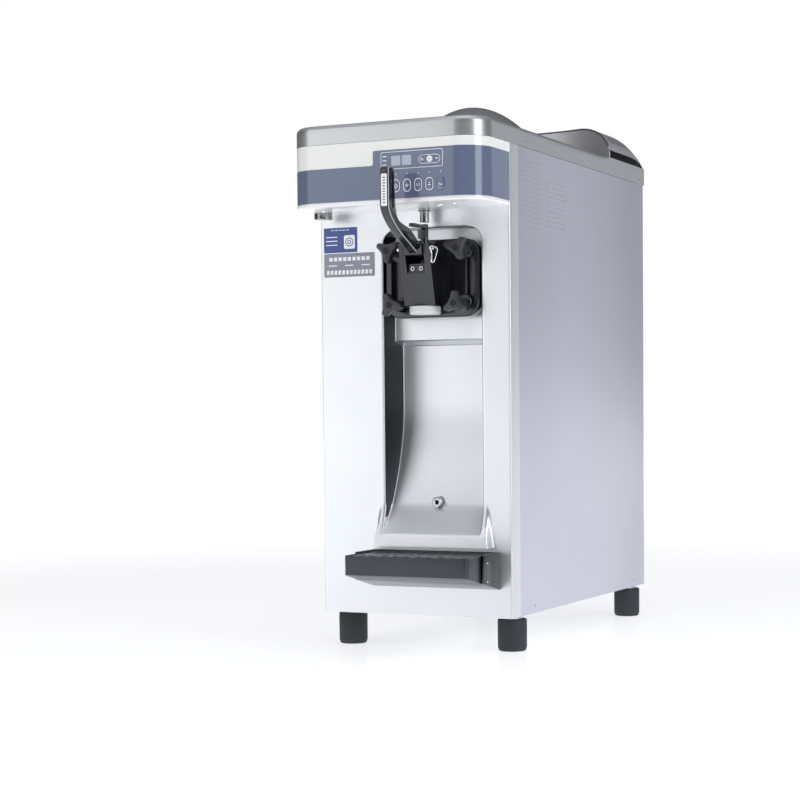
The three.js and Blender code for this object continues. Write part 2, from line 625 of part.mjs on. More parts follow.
// A three-lobed hand knob on a stud, drawn about its own axis along Y.
function doorKnob() {
  const shape = new THREE.Shape();
  for (let lobe = 0; lobe < 3; lobe += 1) {
    const turn = (lobe * 2 * Math.PI) / 3;
    const reach = 1.4;
    shape.absarc(12 * Math.cos(turn), 12 * Math.sin(turn), 5.2, turn - reach, turn + reach);
    const between = turn + Math.PI / 3;
    const next = turn + (2 * Math.PI) / 3;
    shape.quadraticCurveTo(5.5 * Math.cos(between), 5.5 * Math.sin(between),
      12 * Math.cos(next) + 5.2 * Math.cos(next - reach), 12 * Math.sin(next) + 5.2 * Math.sin(next - reach));
  }
  const body = join(prism('y', shape, -34, -22, 2), rod('y', 7.5, -23, door.front - gap, 0, 0));
  return cut(body, rod('y', 4.5, -18.5, 10, 0, 0, 14));
}

part('front_door', frontDoor(), blackPlastic);
part('door_seal', sealRing(seal.inner, seal.outer, seal.front, seal.back), rubber);
part('spout_cover', spoutShroud(), greyPlastic);
part('draw_lever', drawLever(), blackPlastic);
part('lever_label', box(head.x - 4.5, head.x + 4.5, lever.front, lever.front + 0.9, 601, 641), white);
part('draw_valve', drawValve(), blackPlastic);
part('pivot_pin', pivotPin(), chrome);
part('star_nozzle', starNozzle(), clear);

const knobs = new THREE.Group();
knobRows.forEach(({ half, z }, row) => {
  [-1, 1].forEach((side, place) => {
    const name = `door_knob_${row ? 'lower' : 'upper'}_${place ? 'right' : 'left'}`;
    const knob = part(name, doorKnob(), greyPlastic, knobs);
    knob.position.set(head.x + side * half, 0, z);
    knob.rotation.y = THREE.MathUtils.degToRad(-knobTurns[row][place]);
  });
});
machine.add(knobs);

// ---- drive -----------------------------------------------------------------------------------

function gearbox() {
  const block = box(head.x - 35, head.x + 35, 304, 344, head.z - 43, head.z + 43);
  const cap = rod('y', 24, 342, 347, head.x, head.z);
  return cut(join(block, cap), rod('y', 8.5, 295, 355, head.x, head.z));
}

function grooved(radius, shaft, start, z) {
  const { front, rear, groove } = pulley;
  const floor = radius - groove;
  return turned('y', [[0, start], [shaft, start], [shaft, front], [radius, front], [radius, front + 2],
    [floor, front + 5], [floor, rear - 5], [radius, rear - 2], [radius, rear], [0, rear]], head.x, z, 18);
}

function beltLoop(grow) {
  const rise = head.z - motor.z;
  const [r1, r2] = [pulley.driven, pulley.small].map((radius) => radius - pulley.groove + grow);
  const turn = Math.asin((r2 - r1) / rise);
  const shape = new THREE.Shape();
  shape.absarc(head.x, head.z, r1, turn, Math.PI - turn);
  shape.absarc(head.x, motor.z, r2, Math.PI - turn, 2 * Math.PI + turn);
  shape.closePath();
  return shape;
}

function beaterMotor() {
  const body = rod('y', motor.radius, motor.front, motor.rear, head.x, motor.z, 24);
  const seat = box(head.x - 38, head.x + 38, 225, 325, frame.shelf + 2 * gap + 3, motor.z - 30);
  return cut(join(body, seat), rod('y', 7.5, 330, 350, head.x, motor.z));
}

part('gearbox', gearbox(), castMetal);
part('driven_pulley', grooved(pulley.driven, 7, 324, head.z), castMetal);
part('motor_pulley', grooved(pulley.small, 6, 333, motor.z), castMetal);
const belt = cut(prism('y', beltLoop(3.6), 362, 370, 6), prism('y', beltLoop(0.8), 355, 375, 6));
part('drive_belt', belt, rubber);
part('beater_motor', beaterMotor(), darkSteel);

// ---- refrigeration ---------------------------------------------------------------------------

function compressor() {
  const profile = [[0, 62], [48, 62], [64, 76], [66, 140], [64, 214], [46, 232], [0, 236]];
  const shell = turned('z', profile, -20, 250, 18);
  const feet = box(-95, 55, 180, 320, 51.2, 55);
  const legs = [-60, 20].flatMap((x) => [215, 285].map((y) => rod('z', 8, 54, 90, x, y, 8)));
  return join(shell, feet, ...legs);
}

function condenser() {
  const [left, right, front, back] = [-118, 99, 418, 448];
  const fins = steps(left + 1, right - 1, 14).map((x) => box(x - 1, x + 1, front + 2, back - 2, 70, 300));
  const bars = [68, 180, 294].map((z) => box(left, right, front, back, z, z + 8));
  return join(bars[0], ...fins, ...bars.slice(1));
}

function fanShroud() {
  const [x0, x1, z0, z1] = [fan.x - 100, fan.x + 100, fan.z - 100, fan.z + 100];
  const plate = box(x0, x1, 452, 488, z0, z1);
  const hollow = box(x0 + 2, x1 - 2, 450, 486, z0 + 2, z1 - 2);
  const ring = turned('y', [[90, 460], [92, 460], [92, 487], [90, 487], [90, 460]], fan.x, fan.z, 24);
  return cut(join(cut(plate, hollow), ring), rod('y', 90, 440, 500, fan.x, fan.z, 24));
}

function fanBlade() {
  const hub = rod('y', 22, fan.y - 9, fan.y + 9, 0, 0);
  const vanes = Array.from({ length: 5 }, (_, i) => {
    const vane = new THREE.BoxGeometry(66, 2.4, 34);
    vane.rotateX(0.45).translate(fan.radius - 36, fan.y, 0).rotateY((i * 2 * Math.PI) / 5);
    return solid(vane);
  });
  return join(hub, ...vanes);
}

function fanMotor() {
  const body = rod('y', 24, 494, 526, fan.x, fan.z);
  const strut = box(fan.x - 98, fan.x + 98, 488.4, 496, fan.z - 6, fan.z + 6);
  return join(body, strut);
}

function drainTube() {
  const path = new THREE.CurvePath();
  const point = (y, z) => new THREE.Vector3(head.x, y, z);
  const { front, riseY, z, bend, top } = drain;
  path.add(new THREE.LineCurve3(point(front, z), point(riseY - bend, z)));
  path.add(new THREE.QuadraticBezierCurve3(point(riseY - bend, z), point(riseY, z), point(riseY, z + bend)));
  path.add(new THREE.LineCurve3(point(riseY, z + bend), point(riseY, top)));
  const ring = outline(Array.from({ length: 10 }, (_, i) => {
    const turn = (i * Math.PI) / 5;
    return [drain.radius * Math.cos(turn), drain.radius * Math.sin(turn)];
  }));
  const geometry = new THREE.ExtrudeGeometry(ring, { steps: 14, extrudePath: path, bevelEnabled: false });
  return cut(solid(geometry), rod('y', 2.8, front - 5, front + 8, head.x, z, 12));
}

function powerInlet() {
  const { x, z, radius, collar, bore } = inlet;
  const neck = rod('y', radius, 538, 546, x, z, 12);
  return cut(join(neck, rod('y', collar, 545.3, 549.5, x, z, 12)), rod('y', bore, 530, 555, x, z, 12));
}

part('compressor', compressor(), darkSteel);
part('condenser', condenser(), copper);
part('fan_shroud', fanShroud(), darkSteel);
part('fan_blade', fanBlade(), blackPlastic).position.set(fan.x, 0, fan.z);
part('fan_motor', fanMotor(), darkSteel);
part('drain_tube', drainTube(), white);
part('power_inlet', powerInlet(), blackPlastic);

// ---- drip tray -------------------------------------------------------------------------------

// Height of the sloping underside shared by the tray and its bracket.
const underside = (y) => tray.bottom - (y * (tray.lip - tray.bottom)) / tray.reach;

function trayBracket() {
  const { left, right, reach, top, sheet } = bracket;
  const [front, back] = [-reach - 5, -gap - sheet];
  const lifted = (y, rise) => [y, underside(y) + rise];
  const side = outline([[-reach, top], lifted(-reach, 0), lifted(-gap, 0), [-gap, top]]);
  const room = outline([[front, top + 5], lifted(front, 2), lifted(back, 2), [back, top + 5]]);
  return cut(prism('x', side, left, right), prism('x', room, left + sheet + 1, right - sheet - 1));
}

function dripTray() {
  const { left, right, reach, top, lip, ledge, land, wall } = tray;
  const [step, back] = [-bracket.reach - gap, -4]; // the underside steps up to lie in the bracket
  const [wellFront, wellBack] = [-reach + wall, -land - 3];
  const lifted = (y, rise) => [y, underside(y) + rise];
  const rear = [lifted(step, 0), lifted(step, 2.4), lifted(back, 2.4), [back, top]];
  const side = outline([[-reach, top], [-reach, lip], ...rear]);
  const seat = box(left + 2.5, right - 2.5, -reach + 2.5, -land, ledge, top + 5);
  const high = ledge + 1;
  const front = [[wellFront, high], [wellFront, lip + wall]];
  const well = outline([...front, lifted(wellBack, wall), [wellBack, high]]);
  return cut(prism('x', side, left, right), seat, prism('x', well, left + wall, right - wall));
}

function dripGrid() {
  const { left, right, reach, ledge, land } = tray;
  const plate = box(left + 2.8, right - 2.8, -reach + 2.8, -land - gap, ledge + gap, ledge + gap + 2);
  const slots = steps(left + 16, right - 16, 9)
    .flatMap((x) => [-74, -36].map((y) => box(x - 4, x + 4, y - 15, y + 15, 130, 140)));
  return cut(plate, ...slots);
}

part('tray_bracket', trayBracket(), blackPlastic);
part('drip_tray', dripTray(), blackPlastic);
part('drip_grid', dripGrid(), castMetal);

machine.position.y = -(cover.rear + lever.front) / 2;

export default machine;
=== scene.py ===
import json
import math
import bmesh
import bpy
from mathutils import Matrix, Vector


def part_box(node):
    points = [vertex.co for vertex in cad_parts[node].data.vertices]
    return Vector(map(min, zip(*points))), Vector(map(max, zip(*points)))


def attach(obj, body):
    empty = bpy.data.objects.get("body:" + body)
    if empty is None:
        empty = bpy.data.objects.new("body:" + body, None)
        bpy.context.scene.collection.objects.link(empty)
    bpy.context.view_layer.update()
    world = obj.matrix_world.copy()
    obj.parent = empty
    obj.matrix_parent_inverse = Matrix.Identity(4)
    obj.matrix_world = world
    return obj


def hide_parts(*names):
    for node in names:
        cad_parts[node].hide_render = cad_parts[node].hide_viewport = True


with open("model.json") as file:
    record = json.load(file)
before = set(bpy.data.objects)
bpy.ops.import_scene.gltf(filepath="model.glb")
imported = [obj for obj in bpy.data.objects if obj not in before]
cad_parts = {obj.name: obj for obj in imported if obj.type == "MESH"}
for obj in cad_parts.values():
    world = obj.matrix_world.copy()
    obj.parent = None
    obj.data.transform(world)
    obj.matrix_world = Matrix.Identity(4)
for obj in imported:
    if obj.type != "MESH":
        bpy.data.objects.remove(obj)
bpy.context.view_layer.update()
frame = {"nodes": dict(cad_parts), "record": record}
print("frame loaded:", len(frame["nodes"]), "nodes")

gap = 0.0003  # clearance between parts that touch, as in the frame
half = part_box("top_cover")[1].x  # half the casing's width
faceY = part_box("hood_shell")[1].y + gap  # the front panel's face
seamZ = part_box("top_cover")[0].z  # where the cover meets the casing
headX = (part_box("switch_rod")[0].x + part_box("switch_rod")[1].x) / 2  # the dispensing head's own middle
lidX, lidY = [(low + high) / 2 for low, high in zip(*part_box("hopper_lid"))][:2]


# Mesh helpers; sizes are in metres.

def addPiece(name, points, faces):
    mesh = bpy.data.meshes.new(name)
    mesh.from_pydata([tuple(point) for point in points], [], faces)
    piece = bpy.data.objects.new(name, mesh)
    bpy.context.scene.collection.objects.link(piece)
    return piece


def cleanUp(piece, closed=True):
    work = bmesh.new()
    work.from_mesh(piece.data)
    bmesh.ops.remove_doubles(work, verts=work.verts, dist=1e-6)
    bmesh.ops.dissolve_degenerate(work, edges=work.edges, dist=1e-7)
    if closed:
        bmesh.ops.recalc_face_normals(work, faces=work.faces)
    work.to_mesh(piece.data)
    work.free()
    return piece


def arc(u, v, radius, start, end, count=8):
    angles = [math.radians(start + (end - start) * i / count) for i in range(count + 1)]
    return [(u + radius * math.cos(a), v + radius * math.sin(a)) for a in angles]


def roundBox(u0, u1, v0, v1, radius, count=8):
    corners = [(u1 - radius, v0 + radius, -90), (u1 - radius, v1 - radius, 0),
               (u0 + radius, v1 - radius, 90), (u0 + radius, v0 + radius, 180)]
    return [point for u, v, start in corners for point in arc(u, v, radius, start, start + 90, count)]


def along(axis, u, v, t):
    return {"x": (t, u, v), "y": (u, t, v), "z": (u, v, t)}[axis]


# A flat outline pushed along an axis.
def slab(name, outline, axis, low, high):
    count = len(outline)
    points = [along(axis, u, v, t) for t in (low, high) for u, v in outline]
    sides = [(i, (i + 1) % count, (i + 1) % count + count, i + count) for i in range(count)]
    return cleanUp(addPiece(name, points, [tuple(range(count)), tuple(range(count, 2 * count)), *sides]))


# A flat band between two outlines that have the same number of points.
def band(name, outer, inner, axis, low, high):
    count = len(outer)
    points = [along(axis, u, v, t) for t in (low, high) for ring in (outer, inner) for u, v in ring]
    faces = []
    for i in range(count):
        j = (i + 1) % count
        for a, b in ((0, count), (count, 3 * count), (3 * count, 2 * count), (2 * count, 0)):
            faces.append((a + i, a + j, b + j, b + i))
    return cleanUp(addPiece(name, points, faces))


# A profile of (radius, height) points turned about an axis; it closes on the axis or on itself.
def turned(name, profile, axis, u, v, sides=64):
    points, rings = [], []
    for radius, height in profile:
        if radius < 1e-7:
            rings.append([len(points)] * sides)
            points.append(along(axis, u, v, height))
            continue
        rings.append([len(points) + i for i in range(sides)])
        for i in range(sides):
            turn = 2 * math.pi * i / sides
            points.append(along(axis, u + radius * math.cos(turn), v + radius * math.sin(turn), height))
    pairs = list(zip(rings, rings[1:]))
    if profile[0][0] > 1e-7:
        pairs.append((rings[-1], rings[0]))
    faces = []
    for first, second in pairs:
        for i in range(sides):
            j = (i + 1) % sides
            corners = list(dict.fromkeys((first[i], first[j], second[j], second[i])))
            if len(corners) > 2:
                faces.append(tuple(corners))
    return cleanUp(addPiece(name, points, faces))


# Rows of points skinned into one surface, with a modifier's wall behind it.
def skin(name, rows, wall, loop=False):
    width = len(rows[0])
    faces = []
    for r in range(len(rows) - 1):
        for i in range(width if loop else width - 1):
            j = (i + 1) % width
            faces.append((r * width + i, r * width + j, (r + 1) * width + j, (r + 1) * width + i))
    piece = addPiece(name, [point for row in rows for point in row], faces)
    cleanUp(piece, closed=False)
    if wall:
        thicken = piece.modifiers.new("wall", "SOLIDIFY")
        thicken.thickness = wall
        thicken.offset = -1
        thicken.use_even_offset = True
        settle(piece)
    return piece


# Applies whatever modifiers a piece has.
def settle(piece):
    graph = bpy.context.evaluated_depsgraph_get()
    mesh = bpy.data.meshes.new_from_object(piece.evaluated_get(graph), depsgraph=graph)
    piece.modifiers.clear()
    piece.data = mesh
    return piece


def combine(piece, others, operation="DIFFERENCE"):
    for other in others:
        change = piece.modifiers.new(other.name, "BOOLEAN")
        change.operation = operation
        change.solver = "EXACT"
        change.object = other
    settle(piece)
    for other in others:
        bpy.data.objects.remove(other)
    return cleanUp(piece, closed=False)


def soften(piece, width, segments=3, angle=35):
    edge = piece.modifiers.new("edges", "BEVEL")
    edge.width = width
    edge.segments = segments
    edge.limit_method = "ANGLE"
    edge.angle_limit = math.radians(angle)
    return settle(piece)


# Joins several pieces into the first; each keeps its own finish.
def gather(pieces):
    work = bmesh.new()
    finishes = []
    for piece in pieces:
        offset = len(finishes)
        finishes.extend(piece.data.materials)
        old = len(work.faces)
        work.from_mesh(piece.data)
        work.faces.ensure_lookup_table()
        for face in work.faces[old:]:
            face.material_index += offset
    first = pieces[0]
    first.data.materials.clear()
    for finish in finishes:
        first.data.materials.append(finish)
    work.to_mesh(first.data)
    work.free()
    for piece in pieces[1:]:
        bpy.data.objects.remove(piece)
    return first


def paint(piece, material, angle=38):
    if material is not None:
        piece.data.materials.clear()
        piece.data.materials.append(material)
    piece.data.shade_smooth()
    piece.data.set_sharp_from_angle(angle=math.radians(angle))
    return piece


def place(piece, body, slot, *nodes):
    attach(piece, body)
    if nodes:
        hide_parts(*nodes)
    return piece


# Geometry Nodes trees for what repeats.

def newTree(name, inputs):
    tree = bpy.data.node_groups.new(name, "GeometryNodeTree")
    tree.interface.new_socket("Geometry", in_out="OUTPUT", socket_type="NodeSocketGeometry")
    tree.interface.new_socket("Geometry", in_out="INPUT", socket_type="NodeSocketGeometry")
    for label, kind in inputs:
        tree.interface.new_socket(label, in_out="INPUT", socket_type="NodeSocket" + kind)
    return tree, tree.nodes.new("NodeGroupInput"), tree.nodes.new("NodeGroupOutput")


def addNode(tree, kind, **links):
    node = tree.nodes.new("GeometryNode" + kind)
    for label, source in links.items():
        tree.links.new(source, node.inputs[label.replace("_", " ")])
    return node


def endTree(tree, source, sink, geometry):
    real = addNode(tree, "RealizeInstances", Geometry=geometry)
    finish = addNode(tree, "SetMaterial", Geometry=real.outputs[0], Material=source.outputs["Finish"])
    tree.links.new(finish.outputs[0], sink.inputs[0])


def discTree():
    tree, source, sink = newTree("discs on points", [
        ("Radius", "Float"), ("Top radius", "Float"), ("Height", "Float"), ("Sides", "Int"),
        ("Turn", "Rotation"), ("Finish", "Material")])
    cone = tree.nodes.new("GeometryNodeMeshCone")
    for label, name in (("Radius Bottom", "Radius"), ("Radius Top", "Top radius"), ("Depth", "Height"),
                        ("Vertices", "Sides")):
        tree.links.new(source.outputs[name], cone.inputs[label])
    copies = addNode(tree, "InstanceOnPoints", Points=source.outputs["Geometry"],
                     Instance=cone.outputs["Mesh"], Rotation=source.outputs["Turn"])
    endTree(tree, source, sink, copies.outputs[0])
    return tree


def barTree():
    tree, source, sink = newTree("bars on a line", [
        ("Count", "Int"), ("Start", "Vector"), ("Step", "Vector"), ("Size", "Vector"),
        ("Turn", "Rotation"), ("Finish", "Material")])
    line = tree.nodes.new("GeometryNodeMeshLine")
    for label, name in (("Count", "Count"), ("Start Location", "Start"), ("Offset", "Step")):
        tree.links.new(source.outputs[name], line.inputs[label])
    bar = addNode(tree, "MeshCube", Size=source.outputs["Size"])
    copies = addNode(tree, "InstanceOnPoints", Points=line.outputs[0], Instance=bar.outputs["Mesh"],
                     Rotation=source.outputs["Turn"])
    endTree(tree, source, sink, copies.outputs[0])
    return tree


def tubeTree():
    tree, source, sink = newTree("tube along an edge", [("Radius", "Float"), ("Sides", "Int"),
                                                        ("Finish", "Material")])
    path = addNode(tree, "MeshToCurve", Mesh=source.outputs["Geometry"])
    ring = addNode(tree, "CurvePrimitiveCircle", Radius=source.outputs["Radius"],
                   Resolution=source.outputs["Sides"])
    tube = addNode(tree, "CurveToMesh", Curve=path.outputs[0], Profile_Curve=ring.outputs[0])
    tube.inputs["Fill Caps"].default_value = True
    endTree(tree, source, sink, tube.outputs[0])
    return tree


trees = {"discs": discTree(), "bars": barTree(), "tube": tubeTree()}


# Runs a tree on some points, joined in a line if it needs a path, and keeps the plain mesh.
def grow(name, kind, points=((0, 0, 0),), path=False, **values):
    mesh = bpy.data.meshes.new(name)
    edges = [(i, i + 1) for i in range(len(points) - 1)] if path else []
    mesh.from_pydata([tuple(point) for point in points], edges, [])
    piece = bpy.data.objects.new(name, mesh)
    bpy.context.scene.collection.objects.link(piece)
    modifier = piece.modifiers.new(name, "NODES")
    modifier.node_group = trees[kind]
    for item in trees[kind].interface.items_tree:
        if item.in_out == "INPUT" and item.name.replace(" ", "") in values:
            modifier[item.identifier] = values[item.name.replace(" ", "")]
    settle(piece)
    return cleanUp(piece)


turnFront = (math.pi / 2, 0, 0)  # a disc's axis turned to face the front
turnRight = (0, math.pi / 2, 0)
turnLeft = (0, -math.pi / 2, 0)
turnDown = (math.pi, 0, 0)
print("tools ready")


# Finishes.

def shade(colour, amount):
    return tuple(min(1.0, max(0.0, value * amount)) for value in colour) + (1.0,)


# A principled finish whose colour, gloss and relief come from noise on the piece's own coordinates.
def finish(name, colour, roughness, metallic=0.0, grain=(400, 400, 400), relief=0.1, vary=0.05, gloss=0.05,
           coat=0.0, clear=0.0, cloud=9.0):
    material = bpy.data.materials.new(name)
    material.use_nodes = True
    nodes, links = material.node_tree.nodes, material.node_tree.links
    shader = nodes["Principled BSDF"]
    shader.inputs["Metallic"].default_value = metallic
    shader.inputs["Coat Weight"].default_value = coat
    shader.inputs["Coat Roughness"].default_value = 0.08
    shader.inputs["Transmission Weight"].default_value = clear
    where = nodes.new("ShaderNodeTexCoord")
    stretch = nodes.new("ShaderNodeMapping")
    stretch.inputs["Scale"].default_value = grain
    fine = nodes.new("ShaderNodeTexNoise")
    fine.inputs["Scale"].default_value = 1.0
    fine.inputs["Detail"].default_value = 3.0
    broad = nodes.new("ShaderNodeTexNoise")
    broad.inputs["Scale"].default_value = cloud
    broad.inputs["Detail"].default_value = 2.0
    links.new(where.outputs["Object"], stretch.inputs["Vector"])
    links.new(stretch.outputs["Vector"], fine.inputs["Vector"])
    links.new(where.outputs["Object"], broad.inputs["Vector"])
    both = nodes.new("ShaderNodeMath")
    both.operation = "MULTIPLY"
    links.new(fine.outputs["Fac"], both.inputs[0])
    links.new(broad.outputs["Fac"], both.inputs[1])
    tint = nodes.new("ShaderNodeValToRGB")
    tint.color_ramp.elements[0].position = 0.1
    tint.color_ramp.elements[0].color = shade(colour, 1 - vary)
    tint.color_ramp.elements[1].position = 0.45
    tint.color_ramp.elements[1].color = shade(colour, 1 + vary)
    links.new(both.outputs[0], tint.inputs["Fac"])
    links.new(tint.outputs["Color"], shader.inputs["Base Color"])
    wear = nodes.new("ShaderNodeMapRange")
    wear.inputs["To Min"].default_value = max(0.02, roughness - gloss)
    wear.inputs["To Max"].default_value = roughness + gloss
    links.new(fine.outputs["Fac"], wear.inputs["Value"])
    links.new(wear.outputs["Result"], shader.inputs["Roughness"])
    bump = nodes.new("ShaderNodeBump")
    bump.inputs["Strength"].default_value = relief
    bump.inputs["Distance"].default_value = 0.0002
    links.new(fine.outputs["Fac"], bump.inputs["Height"])
    links.new(bump.outputs["Normal"], shader.inputs["Normal"])
    return material


levelGrain = (6, 6, 1500)  # brush lines that run level
uprightGrain = (1300, 1300, 5)
frontSteel = finish("front steel", (0.74, 0.77, 0.80), 0.36, 0.92, levelGrain, 0.05, 0.035, 0.06)
# Painted shade: a darker copy of the front steel, used on the cover, hopper and drain end so the cover reads
# darker.
shadedCoverSteel = finish("cover steel with painted shade", (0.56, 0.575, 0.59), 0.33, 0.95, levelGrain, 0.05, 0.04, 0.06)
sideSteel = finish("silver side sheet", (0.60, 0.61, 0.69), 0.42, 0.70, uprightGrain, 0.06, 0.03, 0.05)
crownSteel = finish("crown steel", (0.54, 0.54, 0.57), 0.40, 0.85, uprightGrain, 0.05, 0.04, 0.05)
lidSteel = finish("lid steel", (0.27, 0.28, 0.30), 0.24, 0.95, (900, 900, 900), 0.03, 0.04, 0.04)
# Painted highlight: a paler glossy finish for the rounded edges of black mouldings.
paintedEdgeHighlight = finish("painted edge highlight", (0.30, 0.31, 0.34), 0.22, 0.0, (900, 900, 900), 0.03, 0.05, 0.04,
                   coat=0.4)
# Painted shade: a near-black copy of the steel for the throat's side walls.
paintedThroatShade = finish("throat wall painted shade", (0.055, 0.055, 0.062), 0.34, 0.92, uprightGrain, 0.05, 0.05, 0.06)
# Painted shadow: a dark finish for the line along the crown's scoop rim.
paintedRimShadow = finish("painted rim shadow", (0.10, 0.10, 0.11), 0.40, 0.4)
creamGloss = finish("cream sheet", (0.86, 0.87, 0.84), 0.22, 0.0, (500, 500, 500), 0.03, 0.015, 0.03,
                    coat=0.5)
trimWhite = finish("trim white", (0.83, 0.84, 0.85), 0.25, 0.1, (500, 500, 500), 0.03, 0.02, 0.03, coat=0.4)
slateBlue = finish("slate blue film", (0.125, 0.155, 0.245), 0.16, 0.0, (600, 600, 600), 0.03, 0.04, 0.03,
                   coat=0.6)
printWhite = finish("white print", (0.88, 0.90, 0.93), 0.35, 0.0, (900, 900, 900), 0.02, 0.02, 0.04)
windowPale = finish("pale window", (0.42, 0.48, 0.56), 0.12, 0.0, (700, 700, 700), 0.02, 0.05, 0.02, coat=0.6)
blackMoulded = finish("black moulding", (0.012, 0.014, 0.019), 0.25, 0.0, (900, 900, 900), 0.15, 0.12, 0.06,
                      coat=0.3)
leverBlack = finish("lever black", (0.009, 0.010, 0.013), 0.18, 0.0, (800, 800, 800), 0.08, 0.12, 0.05,
                    coat=0.5)
greyMoulded = finish("grey moulding", (0.034, 0.037, 0.046), 0.34, 0.0, (900, 900, 900), 0.25, 0.12, 0.08)
slateMoulded = finish("slate moulding", (0.028, 0.036, 0.052), 0.34, 0.0, (700, 700, 700), 0.22, 0.12, 0.07)
footRubber = finish("foot rubber", (0.030, 0.034, 0.044), 0.62, 0.0, (500, 500, 500), 0.35, 0.18, 0.12)
gridGrey = finish("grid grey", (0.20, 0.205, 0.215), 0.35, 0.2, (700, 700, 700), 0.2, 0.08, 0.07)
brightChrome = finish("bright chrome", (0.80, 0.81, 0.83), 0.10, 1.0, (900, 900, 900), 0.02, 0.02, 0.04)
darkChrome = finish("dark chrome", (0.30, 0.30, 0.31), 0.14, 1.0, (900, 900, 900), 0.02, 0.04, 0.04)
clearMoulded = finish("clear moulding", (0.90, 0.93, 0.95), 0.14, 0.0, (500, 500, 500), 0.03, 0.02, 0.04,
                      clear=0.3)
whiteMoulded = finish("white moulding", (0.82, 0.83, 0.84), 0.42, 0.0, (700, 700, 700), 0.12, 0.03, 0.06)
castZinc = finish("cast zinc", (0.42, 0.44, 0.46), 0.48, 0.8, (160, 160, 160), 0.5, 0.12, 0.10, cloud=30)
blackEnamel = finish("black enamel", (0.028, 0.029, 0.032), 0.30, 0.0, (350, 350, 350), 0.15, 0.1, 0.08,
                     coat=0.4)
bareFins = finish("bare fins", (0.62, 0.64, 0.66), 0.38, 0.95, (900, 900, 8), 0.2, 0.06, 0.06)
paleFoam = finish("pale foam", (0.76, 0.70, 0.52), 0.92, 0.0, (420, 420, 420), 0.9, 0.10, 0.04)
boardGreen = finish("board green", (0.03, 0.16, 0.08), 0.40, 0.0, (260, 260, 260), 0.3, 0.25, 0.10)
stickerBlue = finish("sticker blue", (0.035, 0.065, 0.28), 0.32, 0.0, (700, 700, 700), 0.02, 0.05, 0.04,
                     coat=0.3)
stickerGrey = finish("sticker grey", (0.26, 0.27, 0.33), 0.35, 0.0, (700, 700, 700), 0.02, 0.05, 0.04,
                     coat=0.2)
faintPrint = finish("faint print", (0.30, 0.31, 0.37), 0.5, 0.0, (900, 900, 900), 0.02, 0.05, 0.04)
# Painted shade: a near-black finish for flat discs set where bores, sockets and recesses are dark.
paintedHoleShade = finish("painted shade in openings", (0.008, 0.008, 0.010), 0.7, 0.0, (300, 300, 300), 0.1, 0.1, 0.05)

slotFinishes = {
    "brushed_steel": frontSteel, "lid_steel": lidSteel, "silver_panel": sideSteel, "zinc_frame": castZinc,
    "white_trim": trimWhite, "blue_overlay": slateBlue, "key_white": printWhite, "circuit": boardGreen,
    "black_plastic": blackMoulded, "grey_plastic": greyMoulded, "label_white": whiteMoulded,
    "clear_plastic": clearMoulded, "chrome": brightChrome, "rubber": footRubber, "foam": paleFoam,
    "grid_grey": gridGrey, "dark_steel": blackEnamel, "fin_metal": bareFins,
}
for subpart in frame["record"]["subparts"]:
    carried = frame["nodes"][subpart["node"]]
    carried.data.materials.clear()
    carried.data.materials.append(slotFinishes[subpart["material_slot"]])
print("finishes made")


# Camera, floor and light.

view = {"position": (1.13227, -2.51758, 0.33322), "yaw": 24.6444, "down": 2.6168, "roll": -0.4667,
        "lens": 83.64, "shift": (-0.078, 0.1187)}


def addCamera():
    data = bpy.data.cameras.new("camera")
    data.lens = view["lens"]
    data.sensor_width = 36
    data.shift_x, data.shift_y = view["shift"]
    data.clip_end = 60
    camera = bpy.data.objects.new("camera", data)
    yaw, down, roll = [math.radians(view[key]) for key in ("yaw", "down", "roll")]
    ahead = Vector((-math.sin(yaw) * math.cos(down), math.cos(yaw) * math.cos(down), -math.sin(down)))
    right = Vector((math.cos(yaw), math.sin(yaw), 0))
    up = right.cross(ahead)
    axes = Matrix((math.cos(roll) * right + math.sin(roll) * up,
                   -math.sin(roll) * right + math.cos(roll) * up, -ahead)).transposed()
    camera.matrix_world = Matrix.Translation(view["position"]) @ axes.to_4x4()
    bpy.context.scene.collection.objects.link(camera)
    bpy.context.scene.camera = camera


studio = {
    "backdrop": (1.0, 1.0, 1.0), "world": (0.93, 0.95, 1.0), "worldLow": 0.14,
    "worldHigh": 0.60, "rise": (0.35, 0.95), "floorSize": 30, "floorGlow": (0.63, 1.0),
    "floorFade": (1.2, 4.0),  # metres from the object over which the floor goes to plain white
    "lamps": [  # name, place, aimed at, width, height, watts, colour
        ("front box", (-1.9, -2.9, 1.4), (0, 0, 0.42), 2.0, 3.2, 23, (1.0, 1.0, 1.0)),
        ("top box", (0.2, -0.9, 3.0), (0, 0, 0.4), 2.4, 2.4, 10, (1.0, 1.0, 1.0)),
        ("side box", (2.5, -0.9, 1.3), (0, -0.1, 0.5), 1.2, 2.0, 25, (0.92, 0.94, 1.0)),
        ("rear box", (1.6, 2.9, 1.2), (0, 0, 0.4), 1.6, 2.2, 5, (0.92, 0.94, 1.0)),
    ],
}


